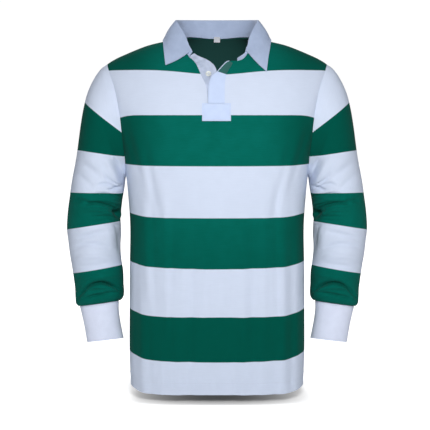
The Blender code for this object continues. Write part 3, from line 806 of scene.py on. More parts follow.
def body_hoop(x, z):
    """Hoop number of a place on the body."""
    dip = along(BODY_HOOPS["z"], BODY_HOOPS["dip"], z) * bell(x, DIP_WIDTH)
    from_seam = along(BODY["z"], BODY["half_width"], z) - np.abs(x)
    hitch = along(BODY_HOOPS["z"], BODY_HOOPS["hitch"], z) * bell(from_seam, HITCH_WIDTH)
    return np.interp(z + dip - hitch, BODY_HOOPS["z"], BODY_HOOPS["number"])


print("hoop number at the waist:", float(body_hoop(0.0, -450.0)))

# %% [markdown]
# Both panels are laid out from the same grid of columns, which run from the hem to the
# neck and shoulder, and of rows, which are level up to the underarm and then bend to the
# top edge. The columns are spaced evenly along the cloth, not along the width, so that
# the sides get as many as the middle. Their edges at the seams sink in a little, so each
# seam shows as a shallow ditch.

# %% Grid of the panels
FINE_COLUMNS = 4
LOWER_ROWS, ARM_ROWS = 138, 78
SHOULDER_COLUMNS = 6
TYPICAL_HALF_WIDTH, TYPICAL_DEPTH, TYPICAL_POWER = 200.0, 125.0, 2.9
SEAM_DITCH = 0.7


def even_fractions(count):
    """Fractions of the half width, evenly spaced along the cloth round the body."""
    angle = np.linspace(0, math.pi, 721)
    bend = 2 / TYPICAL_POWER
    x = np.sign(np.cos(angle)) * np.abs(np.cos(angle)) ** bend
    y = np.sin(angle) ** bend
    steps = np.hypot(np.diff(x) * TYPICAL_HALF_WIDTH, np.diff(y) * TYPICAL_DEPTH)
    length = np.concatenate(([0], np.cumsum(steps)))
    return -np.interp(np.linspace(0, length[-1], count), length, x)


def arm_fractions():
    """Fractions of the way from the underarm to the top edge, closer at both ends."""
    return (1 - np.cos(np.linspace(0, math.pi, ARM_ROWS + 1))) / 2


def top_edge(side):
    """Shoulder, neck and shoulder again, left to right: the panel's upper edge."""
    if side < 0:
        neck_x, neck_z = FRONT_NECK["x"], FRONT_NECK["z"]
    else:
        neck_x = np.concatenate((-BACK_NECK["x"], BACK_NECK["x"][-2::-1]))
        neck_z = np.concatenate((BACK_NECK["z"], BACK_NECK["z"][-2::-1]))
    outer = np.linspace(NECK_X, SHOULDER_X, SHOULDER_COLUMNS + 1)[1:]
    parts = []
    outer_z = ridge_z(outer, -1)
    for x, z in ((-outer[::-1], outer_z[::-1]), (neck_x, neck_z), (outer, outer_z)):
        parts.append(np.stack((x, z), axis=-1))
    whole = np.concatenate(parts)
    neck_first = SHOULDER_COLUMNS
    neck_last = neck_first + len(neck_x) - 1
    fine = []
    for a, b in ((0, neck_first), (neck_first, neck_last), (neck_last, len(whole) - 1)):
        run = whole[a : b + 1]
        at = np.linspace(0, len(run) - 1, (len(run) - 1) * FINE_COLUMNS + 1)
        index = np.arange(len(run), dtype=float)
        fine.append(np.stack([along(index, run[:, k], at) for k in (0, 1)], axis=-1))
    for shoulder in (fine[0], fine[2]):
        shoulder[:, 1] = ridge_z(shoulder[:, 0], -1)
    return np.concatenate((fine[0], fine[1][1:], fine[2][1:]))


def hem_lift(from_seam, z):
    """How far the hem and the cloth above it are hitched up near the side seams."""
    share = np.clip(1 - (z - HEM_Z) / HEM_LIFT_REACH, 0, 1)
    return HEM_LIFT * share * bell(from_seam, HEM_LIFT_WIDTH)


def panel_places(side):
    """Width and height of every point of a panel, rows from the hem up."""
    top = top_edge(side)
    fraction = even_fractions(len(top))
    rows = []
    for level in np.linspace(HEM_Z, UNDERARM_Z, LOWER_ROWS + 1):
        from_seam = along(BODY["z"], BODY["half_width"], level) * (1 - np.abs(fraction))
        z = level + hem_lift(from_seam, level)
        rows.append(np.stack((along(BODY["z"], BODY["half_width"], z) * fraction, z), axis=-1))
    tip_z = top[-1, 1]
    for up in arm_fractions()[1:]:
        edge_z = UNDERARM_Z + (tip_z - UNDERARM_Z) * up
        edge_x = along(ARMHOLE["z"], ARMHOLE["x"], edge_z)
        x = edge_x * (fraction * (1 - up) + top[:, 0] / SHOULDER_X * up)
        rows.append(np.stack((x, UNDERARM_Z + (top[:, 1] - UNDERARM_Z) * up), axis=-1))
    return np.array(rows)


print("points of the front:", panel_places(-1).shape[:2])

# %% Front and back panels


def panel_faces(side):
    """Outer and inner face of a panel in metres, and its hoop numbers."""
    places = panel_places(side)
    x, z = places[..., 0], places[..., 1]
    outer = np.stack((x, body_y(x, z, side), z), axis=-1) * MM
    outward = grid_normals(outer) * -side
    shoulder = SHOULDER_COLUMNS * FINE_COLUMNS + 1
    outward[: LOWER_ROWS + 1, (0, -1), 1] = 0
    outward[-1, :shoulder, 1] = 0
    outward[-1, -shoulder:, 1] = 0
    outward = unit(outward)
    outer[:, (0, -1)] -= outward[:, (0, -1)] * SEAM_DITCH * MM
    outer[-1, :shoulder] -= outward[-1, :shoulder] * SEAM_DITCH * MM
    outer[-1, -shoulder:] -= outward[-1, -shoulder:] * SEAM_DITCH * MM
    return outer, outer - outward * JERSEY, body_hoop(x, z)


def make_panel(name, side):
    """The front or the back as a thin hooped shell."""
    outer, inner, hoop = panel_faces(side)
    if side > 0:
        outer, inner, hoop = outer[:, ::-1], inner[:, ::-1], hoop[:, ::-1]
    made = make_wall("cloth_" + name, outer, inner, hooped_jersey, hoop=hoop)
    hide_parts(name)
    return made


front = make_panel("front", -1)
back = make_panel("back", 1)

# %% [markdown]
# A sleeve is a tube whose rings change from the slanted armhole to the level wrist. Each
# ring is an oval between an outer and an inner line of the arm. The first ring is the
# armhole's own edge, and the next ones ease from it into their ovals, so the seam closes.
# Toward the wrist the rings tilt, with their front a little higher than their back. A
# bevelled curve would be quicker, but it gives round rings, square to the arm.

# %% Sizes of the sleeves
SLEEVE = table(
    "outer_x outer_z inner_x inner_z half_depth centre_y",
    [
        (243.5, -54.5, 203.0, -304.5, 60, 2),
        (259.5, -67.0, 205.2, -306.8, 64, 1),
        (275.0, -89.5, 206.0, -311.0, 67, 0),
        (288.5, -119.0, 206.6, -316.5, 69, -1),
        (297.5, -152.5, 207.2, -323.5, 70, -2),
        (304.0, -188.5, 208.4, -332.0, 70, -3),
        (309.0, -224.0, 210.0, -342.0, 69, -4),
        (314.3, -262.0, 212.2, -354.0, 68, -5),
        (320.7, -296.0, 213.8, -366.0, 67, -6),
        (326.3, -327.0, 215.0, -376.5, 66, -7),
        (330.4, -354.0, 215.8, -385.5, 65, -8),
        (333.8, -378.0, 216.0, -393.5, 64, -9),
        (336.0, -402.0, 216.0, -401.5, 63, -10),
        (336.5, -426.0, 216.2, -411.0, 62, -11),
        (332.5, -457.0, 217.4, -438.5, 60, -12),
        (329.0, -485.0, 217.2, -466.5, 58, -13),
        (325.3, -512.0, 215.2, -493.5, 56, -14),
        (321.8, -538.0, 212.5, -519.5, 54, -15),
        (319.6, -560.0, 210.4, -541.5, 52, -16),
        (319.0, -578.0, 209.4, -560.0, 50, -16),
        (318.0, -590.0, 210.2, -573.0, 46, -16),
        (313.6, -596.6, 215.0, -582.0, 40, -16),
        (309.6, -597.6, 221.4, -585.2, 34, -16),
    ],
)
SLEEVE_FOLDS = table(
    "ring angle slant ring_width angle_width height",
    [
        (2.6, 100, -0.010, 0.8, 45, 3.0),
        (9.0, 62, 0.012, 0.9, 42, 3.0),
        (11.2, 140, -0.008, 0.7, 44, 4.0),
        (12.4, 118, 0.012, 0.6, 46, -4.0),
        (13.6, 150, 0.006, 0.7, 40, 3.6),
        (12.2, 232, 0.008, 0.9, 50, -3.0),
        (15.2, 70, 0.010, 0.9, 60, 2.4),
        (17.3, 100, -0.006, 0.6, 75, 3.2),
        (18.1, 80, 0.004, 0.5, 70, -3.0),
        (17.6, 255, 0.006, 0.7, 60, 3.0),
    ],
)
SLEEVE_HOOPS = table(
    "outer_x outer_z inner_x inner_z number",
    [
        (236.0, -40.0, 208.0, -120.0, 0.0),
        (289.2, -144.2, 211.6, -204.5, 1.0),
        (304.7, -247.5, 209.8, -258.5, 2.0),
        (323.4, -341.5, 212.7, -342.6, 3.0),
        (327.7, -422.8, 213.2, -405.0, 4.0),
        (317.7, -521.4, 213.9, -503.4, 5.0),
        (311.0, -620.0, 214.0, -606.0, 5.95),
    ],
)
HEAD_RINGS = 4
RING_STEPS = 12
FRONT_RISE, RISE_FROM, RISE_OVER = 4.5, 3, 7
print("rings of a sleeve:", (len(SLEEVE["outer_x"]) - 1) * RING_STEPS + 1)

# %% [markdown]
# A sleeve's creases run where the arm bends and where its end blouses over the cuff. Each
# row is one crease as the front view shows it, through three points on the wearer's left
# arm. Those on the back of the arm are fewer and softer.

# %% Creases of the sleeves
SLEEVE_CREASES = table(
    "side x_start z_start x_mid z_mid x_end z_end width height",
    [
        (-1, 215, -110, 224, -136, 228, -170, 6, -1.8),
        (-1, 216, -176, 211, -214, 209, -254, 6, -2.6),
        (-1, 246, -300, 230, -316, 212, -324, 3.6, -1.6),
        (-1, 262, -326, 240, -322, 214, -336, 3.4, -2.0),
        (-1, 299, -273, 275, -290, 247, -314, 7, -1.1),
        (-1, 286, -266, 262, -281, 234, -297, 8, 1.0),
        (-1, 306, -301, 286, -316, 263, -338, 6, -1.1),
        (-1, 229, -262, 216, -284, 208, -314, 6, -3.4),
        (-1, 244, -266, 228, -292, 216, -327, 7, 2.6),
        (-1, 210, -325, 223, -332, 241, -336, 3.5, -2.6),
        (-1, 291, -369, 258, -365, 217, -382, 3.4, -3.6),
        (-1, 274, -345, 247, -344, 215, -351, 3.4, -2.4),
        (-1, 265, -356, 239, -358, 212, -369, 3.5, 2.2),
        (-1, 287, -382, 256, -380, 217, -393, 4, 2.4),
        (-1, 274, -395, 243, -394, 215, -400, 3.4, -2.2),
        (-1, 315, -362, 296, -359, 274, -367, 4, -1.8),
        (-1, 232, -382, 219, -390, 211, -395, 6, -7.0),
        (-1, 261, -411, 237, -406, 215, -411, 3.5, 1.8),
        (-1, 226, -408, 220, -437, 214, -479, 5, -2.4),
        (-1, 240, -420, 236, -444, 228, -470, 7, 0.8),
        (-1, 314, -448, 279, -435, 237, -426, 5, -2.0),
        (-1, 319, -468, 275, -455, 231, -468, 5, -1.9),
        (-1, 312, -490, 271, -482, 231, -490, 6, 1.7),
        (-1, 306, -506, 269, -502, 231, -497, 5, -1.4),
        (-1, 312, -578, 260, -541, 208, -569, 3.4, -5.2),
        (-1, 302, -560, 262, -551, 216, -562, 6, 2.8),
        (-1, 298, -578, 265, -569, 221, -563, 2.8, -2.6),
        (-1, 298, -533, 262, -527, 223, -526, 6, 2.0),
        (1, 290, -160, 262, -190, 236, -236, 9, 2.2),
        (1, 306, -250, 276, -268, 240, -300, 8, -2.6),
        (1, 300, -300, 270, -312, 236, -338, 7, 2.0),
        (1, 318, -356, 276, -352, 230, -372, 6, -3.0),
        (1, 322, -384, 284, -376, 240, -390, 6, 2.6),
        (1, 324, -404, 280, -404, 226, -402, 5, -3.0),
        (1, 322, -436, 284, -428, 240, -430, 7, 2.0),
        (1, 316, -470, 276, -476, 232, -460, 6, -2.0),
        (1, 312, -512, 270, -500, 228, -500, 6, 1.8),
        (1, 310, -560, 264, -536, 216, -546, 4, -4.4),
        (1, 306, -574, 264, -560, 220, -560, 5, 2.4),
    ],
)
SLEEVE_CREASE_DEPTH = 2.4
LINE_STEPS, LINE_TIP = 40, 0.03
CREASE_FADE = 0.6


def line_height(source, x, z, side):
    """How far the three-point creases of a table lift the cloth at x and z."""
    total = np.zeros(x.shape)
    share = np.linspace(0, 1, LINE_STEPS)
    weights = ((1 - share) ** 2, 2 * share * (1 - share), share**2)
    for row in rows_of(source, side):
        line = []
        for axis in "xz":
            start, middle, end = (row[f"{axis}_{at}"] for at in ("start", "mid", "end"))
            bend = 2 * middle - (start + end) / 2
            line.append(weights[0] * start + weights[1] * bend + weights[2] * end)
        away = np.hypot(x[..., None] - line[0], z[..., None] - line[1])
        nearest = np.clip(share[away.argmin(axis=-1)], LINE_TIP, 1 - LINE_TIP)
        depth = np.sin(math.pi * nearest) ** CREASE_FADE
        total += row["height"] * depth * bell(away.min(axis=-1), row["width"])
    return total


print("creases on each sleeve:", len(SLEEVE_CREASES["side"]))

# %% [markdown]
# The rings of a tube come from smooth readings of its table. The sleeve's first ring is
# taken from the edges of both panels, which also tell which way the seam faces.

# %% Rings of the sleeves


def tube_angles():
    """Angles round a sleeve: from its outer line over the front and back again."""
    front_half = np.arccos(2 * arm_fractions()[::-1] - 1)
    return np.concatenate((front_half, 2 * math.pi - front_half[-2:0:-1]))


def rings_of(source, angles, steps):
    """Points of the oval rings of a table, that many steps to each of its rows."""
    at, row = between_rows(source, steps)
    turn = np.cos(angles)[None, :]
    x = (row["outer_x"] + row["inner_x"]) / 2 + turn * (row["outer_x"] - row["inner_x"]) / 2
    z = (row["outer_z"] + row["inner_z"]) / 2 + turn * (row["outer_z"] - row["inner_z"]) / 2
    y = row["centre_y"] - np.sin(angles)[None, :] * row["half_depth"]
    return at, np.stack((x, y, z), axis=-1)


def raise_front(rings, angles, share):
    """Rings tilted so that their front rises and their back drops by a share."""
    tilted = rings.copy()
    tilted[..., 2] += FRONT_RISE * np.sin(angles)[None, :] * share
    return tilted


def armhole_edge():
    """The body's edge at the left armhole at the sleeve's angles: its outer points, the
    way in to its inner points, and the way across to the sleeve."""
    parts = []
    for side in (-1, 1):
        outer, inner, _ = panel_faces(side)
        edge = outer[LOWER_ROWS:, -1]
        inward = unit(inner[LOWER_ROWS:, -1] - edge)
        across = unit(np.cross(np.gradient(edge, axis=0), inward)) * side
        parts.append(np.stack((edge, inward, across)))
    joined = np.concatenate((parts[0][:, ::-1], parts[1][:, 1:-1]), axis=1)
    return joined[0], unit(joined[1]), unit(joined[2])


print("points round an armhole:", len(armhole_edge()[0]))

# %% [markdown]
# The sleeve's hoops are not level: the cloth hangs along the arm, and each colour change
# is a slanted line in the front view. A point's hoop number is found between the two
# lines that it lies between. Folds and creases fade out at both ends, where the seams hold
# the cloth.

# %% Sleeve shells
HELD_HEAD, HEAD_FADE, HELD_END = 1.0, 1.5, 2.5
FACING_GAIN, FACING_EDGE = 4, 0.3


def sleeve_fold(ring, angles):
    """Height of the sleeve's folds at ring numbers and angles."""
    total = np.zeros((len(ring), len(angles)))
    degrees = np.degrees(angles)[None, :]
    for row in rows_of(SLEEVE_FOLDS):
        turn = degrees - row["angle"]
        off = ring[:, None] - row["ring"] - turn * row["slant"]
        total += row["height"] * bell(off, row["ring_width"]) * bell(turn, row["angle_width"])
    return total


def sleeve_hoop(x, z):
    """Hoop number of a place on the sleeve, from its width and height in the front view."""
    numbers = SLEEVE_HOOPS["number"]
    below = []
    for row in rows_of(SLEEVE_HOOPS):
        slope = (row["outer_z"] - row["inner_z"]) / (row["outer_x"] - row["inner_x"])
        below.append(row["inner_z"] + (x - row["inner_x"]) * slope - z)
    number = np.full(x.shape, numbers[0])
    for n in range(len(below) - 1):
        share = below[n] / (below[n] - below[n + 1])
        step = numbers[n + 1] - numbers[n]
        number = np.where(below[n] > 0, numbers[n] + share * step, number)
    return number


def sleeve_faces():
    """Outer and inner face of the left sleeve in metres, and its hoop numbers."""
    angles = tube_angles()
    at, rings = rings_of(SLEEVE, angles, RING_STEPS)
    edge, inward, across = armhole_edge()
    ease = np.clip(1 - at / HEAD_RINGS, 0, 1)[:, None, None] ** 2
    rings = rings + (edge / MM - rings[0])[None] * ease
    outward = unit(rings - rings.mean(axis=1, keepdims=True))
    from_end = np.clip(len(SLEEVE["outer_x"]) - HELD_END - at, 0, 1)
    ends = np.clip((at - HELD_HEAD) / HEAD_FADE, 0, 1) * from_end
    height = sleeve_fold(at, angles)
    for side in (-1, 1):
        facing = np.clip(-side * np.sin(angles) * FACING_GAIN + FACING_EDGE, 0, 1)
        drawn = line_height(SLEEVE_CREASES, rings[..., 0], rings[..., 2], side)
        height = height + facing * drawn * SLEEVE_CREASE_DEPTH
    rings = rings + outward * (height * ends[:, None])[..., None]
    hoop = sleeve_hoop(rings[..., 0], rings[..., 2])
    rise = np.clip((at - RISE_FROM) / RISE_OVER, 0, 1)[:, None]
    outer = raise_front(rings, angles, rise) * MM
    outer[0] += across * SEAM * MM
    inner = outer - grid_normals(outer, closed=True) * JERSEY
    low = np.clip(-np.cos(angles) * 2 - 1, 0, 1)[:, None]
    inner[0] = outer[0] + unit(inward * (1 - low) + across * low) * JERSEY
    return outer, inner, hoop


def mirrored(outer, inner, side):
    """The same tube for the wearer's left, 1, or right, -1."""
    mirror = np.array((side, 1, 1))
    outer, inner = outer * mirror, inner * mirror
    if side < 0:
        outer, inner = outer[:, ::-1], inner[:, ::-1]
    return outer, inner


def make_sleeve(name, side, faces):
    """One sleeve as a thin hooped shell, from the faces of the left one."""
    outer, inner, hoop = faces
    outer, inner = mirrored(outer, inner, side)
    if side < 0:
        hoop = hoop[:, ::-1]
    finish, slot = hooped_jersey, "hooped_jersey"
    made = make_wall("cloth_" + name, outer, inner, finish, closed=True, hoop=hoop)
    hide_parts(name)
    return made


SIDES = {"left": 1, "right": -1}
left_faces = sleeve_faces()
sleeves = {side: make_sleeve("sleeve_" + side, sign, left_faces) for side, sign in SIDES.items()}

# %% [markdown]
# The cuffs are nearly straight bands of doubled twill. They are as narrow as the wrist,
# and the bloused end of the sleeve folds over their top edge.

# %% Cuffs
CUFF = table(
    "outer_x outer_z inner_x inner_z half_depth centre_y",
    [
        (309.4, -598.1, 221.6, -585.7, 33.6, -16),
        (304.5, -619.0, 221.4, -607.5, 32.0, -17),
        (300.0, -640.0, 218.6, -629.0, 30.6, -18),
        (296.4, -661.0, 214.6, -651.0, 29.6, -19),
        (293.4, -679.4, 210.8, -669.8, 29.0, -20),
    ],
)
CUFF_STEPS = 9


def make_cuff(name, side):
    """One cuff as a thin twill band."""
    outer = raise_front(rings_of(CUFF, tube_angles(), CUFF_STEPS)[1], tube_angles(), 1.0) * MM
    inner = outer - grid_normals(outer, closed=True) * TWILL
    outer, inner = mirrored(outer, inner, side)
    made = make_wall("cloth_" + name, outer, inner, cuff_twill, closed=True)
    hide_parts(name)
    return made


cuffs = {side: make_cuff("cuff_" + side, sign) for side, sign in SIDES.items()}

# %% [markdown]
# The collar stands up from the neck edge, rolls over at the fold line and comes down as
# the leaf. Three sets of points drive it: where it is sewn, where it folds, and where its
# edge lies. The two front ends differ, because the wearer's left one hangs lower. It
# could be a flat strip bent by modifiers, but three measured lines are easier to correct.

# %% Sizes of the collar
FOLD = table(
    "left_x right_x y z",
    [
        (62.0, 54.5, -64.5, -32.0),
        (65.5, 59.5, -54.5, -20.0),
        (70.5, 66.7, -42.0, -2.0),
        (78.5, 76.5, -27.0, 16.6),
        (85.0, 84.3, -13.0, 29.0),
        (88.7, 88.7, -2.0, 36.4),
        (90.0, 90.0, 8.0, 40.0),
        (88.6, 88.6, 24.0, 41.8),
        (82.6, 82.6, 42.0, 43.2),
        (70.0, 70.0, 57.0, 44.4),
        (50.0, 50.0, 69.0, 45.2),
        (26.0, 26.0, 76.0, 45.6),
        (0.0, 0.0, 78.5, 45.8),
    ],
)
LEAF = table(
    "left_x left_y left_z right_x right_y right_z",
    [
        (106.6, -76, -75.0, 111.2, -74, -61.2),
        (108.8, -70, -60.0, 113.4, -67, -47.0),
        (111.2, -57, -43.5, 115.4, -54, -33.0),
        (114.6, -41, -28.0, 117.2, -38, -21.0),
        (117.4, -24, -16.0, 118.6, -22, -12.0),
        (119.4, -7, -7.0, 119.4, -6, -6.0),
        (119.4, 12, -4.6, 119.4, 12, -4.6),
        (116.4, 31, -7.0, 116.4, 31, -7.0),
        (107.5, 50, -12.0, 107.5, 50, -12.0),
        (90.0, 66, -16.0, 90.0, 66, -16.0),
        (65.0, 78, -16.5, 65.0, 78, -16.5),
        (34.0, 85, -15.0, 34.0, 85, -15.0),
        (0.0, 87, -14.0, 0.0, 87, -14.0),
    ],
)
STAND = (0, 0.35, 0.7)
ROLL = table("out up", [(-0.8, -2.4), (0.7, 0.5), (3.4, -1.0)])
LEAF_ROWS, LEAF_SWELL, LEAF_CLEARANCE = 6, 2.6, 1.1
END_BOW, BOW_STATIONS = 5.0, 3
RIDGE_ZONE, GROW_SHARE = 12.0, 1.2
COLLAR_FOOT_LIFT = 0.9
print("stations of the collar:", 2 * len(FOLD["z"]) - 1)

# %% [markdown]
# The leaf has to lie on the shirt and not in it. Each of its points is moved out until it
# clears the chest or the shoulder, as if the cloth rested there.

# %% Resting on the body


def push_out(points, margin):
    """Points moved out to lie at least a margin clear of the body's outer face."""
    moved = np.array(points, float)
    for index in np.ndindex(moved.shape[:-1]):
        x, y, z = moved[index]
        side = -1 if y < 0 else 1
        start, power = FRONT_ARCH if side < 0 else BACK_ARCH
        if z <= start:
            continue
        crown = ridge_z(x, side) - start
        width = along(BODY["z"], BODY["half_width"], z)
        depth = along(BODY["z"], BODY["front" if side < 0 else "back"], z)
        depth = depth * rounding(x / width, along(BODY["z"], BODY["power"], z))
        level = ((z - start) / crown) ** power + (abs(y) / depth) ** power
        reach = math.hypot(y, z - start)
        surface = reach / level ** (1 / power)
        grow = max(1, (surface + margin * GROW_SHARE) / reach)
        moved[index] = (x, y * grow, start + (z - start) * grow)
        if side < 0:
            flat = float(np.clip((ridge_z(x, side) - z) / RIDGE_ZONE, 0, 1))
            slope = float(body_y(x, z + 0.5, side) - body_y(x, z - 0.5, side))
            held = (x, min(y, float(body_y(x, z, side)) - margin * math.hypot(1, slope)), z)
            moved[index] = moved[index] * (1 - flat) + np.array(held) * flat
    return moved


tried = push_out([[100.0, -20.0, -20.0]], TWILL / MM)[0]
print("a point pushed out of the chest:", [round(float(value), 1) for value in tried])

# %% [markdown]
# From the foot the rows go up the stand, over the roll and down the leaf. The leaf swells
# a little between its fold and its edge, and its front ends bow, as stiff cloth does.

# %% Collar


def collar_stations():
    """Neck edge points that carry the collar, left front to right front."""
    left = [(FRONT_NECK["x"][i], FRONT_NECK["z"][i], -1) for i in range(-6, 0)]
    behind = [(x, z, 1) for x, z in zip(BACK_NECK["x"][1:], BACK_NECK["z"][1:])]
    half = left + behind
    other = [(-x, z, side) for x, z, side in half[-2::-1]]
    return np.array([(x, float(body_y(x, z, side)), z) for x, z, side in half + other])


def both_halves(source, left, right):
    """Points at each station, left front to right front, from both halves' columns."""
    half = [np.stack([source[name] for name in names.split()], axis=-1) for names in (left, right)]
    return np.concatenate((half[0], half[1][-2::-1] * (-1, 1, 1)))


def fold_points():
    """The fold line at each station."""
    return both_halves(FOLD, "left_x y z", "right_x y z")


def leaf_points():
    """The leaf's free edge at each station."""
    return both_halves(LEAF, "left_x left_y left_z", "right_x right_y right_z")


def make_collar():
    """The folded twill collar as one thin shell."""
    foot, fold, edge = collar_stations(), fold_points(), leaf_points()
    up = unit(fold - foot)
    away = unit(edge - fold)
    foot = foot + up * COLLAR_FOOT_LIFT
    rows = [foot + (fold - foot) * share for share in STAND]
    out = unit(away + up)
    for bend in rows_of(ROLL):
        rows.append(fold + out * bend["out"] + up * bend["up"])
    start = rows[-1]
    lift = unit(np.cross(away, np.gradient(fold, axis=0)))
    station = np.arange(len(fold))
    from_end = np.minimum(station, station[::-1])
    bow = END_BOW * np.clip(1 - from_end / BOW_STATIONS, 0, 1) ** 2
    for n in range(1, LEAF_ROWS + 1):
        f = n / LEAF_ROWS
        row = start + (edge - start) * f + lift * LEAF_SWELL * math.sin(math.pi * f)
        row[:, 2] -= bow * math.sin(math.pi * f)
        rows.append(push_out(row, LEAF_CLEARANCE + TWILL / MM))
    outside = refine(np.array(rows) * MM, 4, 6)
    inside = outside - grid_normals(outside) * TWILL
    made = make_wall("cloth_collar", outside, inside, shaded_collar_twill)
    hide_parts("collar")
    return made


collar = make_collar()

# %% [markdown]
# Inside the collar's foot a low tape covers the raw neck seam. It shows where the neck is
# open, and runs on down the wearer's left side to the placket.

# %% Neck tape
TAPE_HEIGHT, TAPE_INSET, TAPE_FOOT_LIFT = 12.5, 2.4, 0.7
TAPE_SHORT = 1
TAPE_END = table(
    "neck_point lean_x lean_y lean_z",
    [
        (-8, -0.05, 0.78, 0.62),
        (-7, -0.15, 0.62, 0.77),
    ],
)


def make_neck_tape():
    """The tape inside the neck edge as one thin strip."""
    foot = collar_stations()
    up = unit(fold_points() - foot)
    point = TAPE_END["neck_point"].astype(int)
    extra_x, extra_z = FRONT_NECK["x"][point], FRONT_NECK["z"][point]
    extra = np.stack((extra_x, body_y(extra_x, extra_z, -1), extra_z), axis=-1)
    lean = np.stack((TAPE_END["lean_x"], TAPE_END["lean_y"], TAPE_END["lean_z"]), axis=-1)
    foot = np.concatenate((extra, foot[:-TAPE_SHORT]))
    up = np.concatenate((lean, up[:-TAPE_SHORT]))
    into = unit(np.cross(up, unit(np.gradient(foot, axis=0))))
    base = foot + into * TAPE_INSET + up * TAPE_FOOT_LIFT
    rows = [base + up * TAPE_HEIGHT * share for share in (0, 0.5, 1)]
    outside = refine(np.array(rows), 3, 6) * MM
    inside = outside - grid_normals(outside) * TWILL
    made = make_wall("cloth_neck_tape", outside, inside, shaded_collar_twill)
    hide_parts("neck_tape")
    return made


neck_tape = make_neck_tape()

# %% [markdown]
# The placket is two twill strips that overlap under the neck slit. The outer one lies on
# the front, the under one behind it with the button, and the top is open, so both turn
# outwards. A box patch closes their foot. Above a slanting line the outer strip shows its
# green turning, inside a narrow white edge, and the under one is rumpled toward its free
# edge.

# %% Sizes of the placket
PLACKET_TOP = table(
    "left_x left_z right_x right_z",
    [
        (-19.2, -143.4, 16.1, -143.4),
        (-19.0, -124.0, 16.1, -124.0),
        (-18.4, -108.0, 16.4, -106.0),
        (-16.0, -95.0, 17.4, -93.0),
        (-10.6, -84.8, 19.6, -83.6),
        (-0.2, -75.6, 23.0, -75.0),
        (9.6, -64.7, 28.0, -66.5),
        (19.3, -54.9, 31.6, -61.0),
        (25.6, -52.4, 33.4, -57.6),
    ],
)
PLACKET_UNDER = table(
    "left_x left_z right_x right_z",
    [
        (-31.0, -143.0, 2.0, -143.0),
        (-31.0, -124.0, 2.0, -124.0),
        (-33.0, -109.0, 1.0, -107.0),
        (-39.0, -96.0, -0.6, -92.5),
        (-45.0, -83.0, -1.4, -80.0),
        (-50.5, -70.5, -1.6, -69.6),
        (-55.0, -60.0, -8.4, -57.6),
        (-58.5, -52.5, -22.4, -47.0),
        (-60.5, -46.5, -41.4, -38.6),
        (-62.0, -40.5, -49.5, -33.0),
    ],
)
LAP, UNDER_LAP = 0.6 * MM, 0.9 * MM
FLAP_Z, FLAP_SLOPE, FLAP_EDGE = -75.5, -0.34, 1.4
RUMPLES = table(
    "side x_start z_start x_mid z_mid x_end z_end width height",
    [
        (-1, -57, -44, -48, -47, -38, -43, 1.8, 1.0),
        (-1, -60, -49, -49, -53, -40, -50, 1.6, -1.2),
        (-1, -57, -55, -46, -59, -34, -52, 2.0, 1.1),
        (-1, -54, -61, -42, -63, -28, -57, 2.0, -1.0),
        (-1, -52, -67, -38, -69, -22, -60, 2.4, 0.8),
        (-1, -48, -74, -34, -74, -22, -68, 2.2, -0.7),
        (-1, -43, -84, -32, -86, -22, -80, 2.4, 0.6),
        (-1, -12, -66, -14, -84, -12, -104, 2.6, -0.7),
        (-1, -22, -92, -20, -108, -21, -128, 2.6, -0.5),
    ],
)
BOX_X, BOX_HALF_WIDTH = -1.2, 30.6
BOX_TOP_Z, BOX_FOOT_Z = -143.9, -181.2
BOX_COLUMNS, BOX_ROWS = 33, 21
STRIP_COLUMNS, STRIP_STEPS = 45, 10
print("length of the placket, mm:", float(np.ptp(PLACKET_TOP["left_z"])))

# %% [markdown]
# What lies on a panel is made from the panel: the strips and the patch take their shape
# from the front's own surface, moved out or in, and so they follow it all over. A
# Shrinkwrap modifier would search for that surface, and here it can be worked out.

# %% Placket and box patch


def strip_places(source, columns, steps):
    """Width and height of a strip's points, from its foot to its top."""
    row = between_rows(source, steps)[1]
    across = np.linspace(0, 1, columns)[None, :]
    x = row["left_x"] * (1 - across) + row["right_x"] * across
    z = row["left_z"] * (1 - across) + row["right_z"] * across
    return x, z


def surface_normals(x, z, side=-1):
    """Outward normals of the body at x and z."""
    slope_x = body_y(x + 0.5, z, side) - body_y(x - 0.5, z, side)
    slope_z = body_y(x, z + 0.5, side) - body_y(x, z - 0.5, side)
    return unit(np.stack((slope_x, -np.ones_like(slope_x), slope_z), axis=-1)) * -side


def lie_on_body(x, z, rise, side=-1):
    """Points on the body's outer face, moved out by a rise in metres."""
    on = np.stack((x, body_y(x, z, side), z), axis=-1) * MM
    rise = np.broadcast_to(rise, np.shape(x))
    return on + surface_normals(x, z, side) * rise[..., None]


def make_strip(name, source, rise, finish):
    """A placket strip that lies on, or under, the front."""
    x, z = strip_places(source, STRIP_COLUMNS, STRIP_STEPS)
    if rise < 0:
        rise = rise + line_height(RUMPLES, x, z, -1) * MM
    outer = lie_on_body(x, z, rise + TWILL)
    inner = lie_on_body(x, z, rise)
    turning = np.minimum(z - FLAP_Z - FLAP_SLOPE * x, x - x[:, :1] - FLAP_EDGE)
    made = make_wall("cloth_" + name, outer, inner, finish, hoop=turning)
    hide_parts(name)
    return made


def make_box():
    """The box patch that closes the foot of the placket."""
    across = np.linspace(BOX_X - BOX_HALF_WIDTH, BOX_X + BOX_HALF_WIDTH, BOX_COLUMNS)
    x, z = np.meshgrid(across, np.linspace(BOX_FOOT_Z, BOX_TOP_Z, BOX_ROWS))
    outer = lie_on_body(x, z, LAP + TWILL)
    inner = lie_on_body(x, z, LAP)
    made = make_wall("cloth_placket_box", outer, inner, white_twill)
    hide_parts("placket_box")
    return made


placket_top = make_strip("placket_top", PLACKET_TOP, LAP, flap_twill)
under_rise = -(JERSEY + UNDER_LAP + TWILL)
placket_under = make_strip("placket_under", PLACKET_UNDER, under_rise, shaded_under_twill)
placket_box = make_box()

# %% [markdown]
# The button has the cloudy gloss of shell, and its thread is dull twisted cotton. Neither
# has yarn places, so both finishes use plain noise.

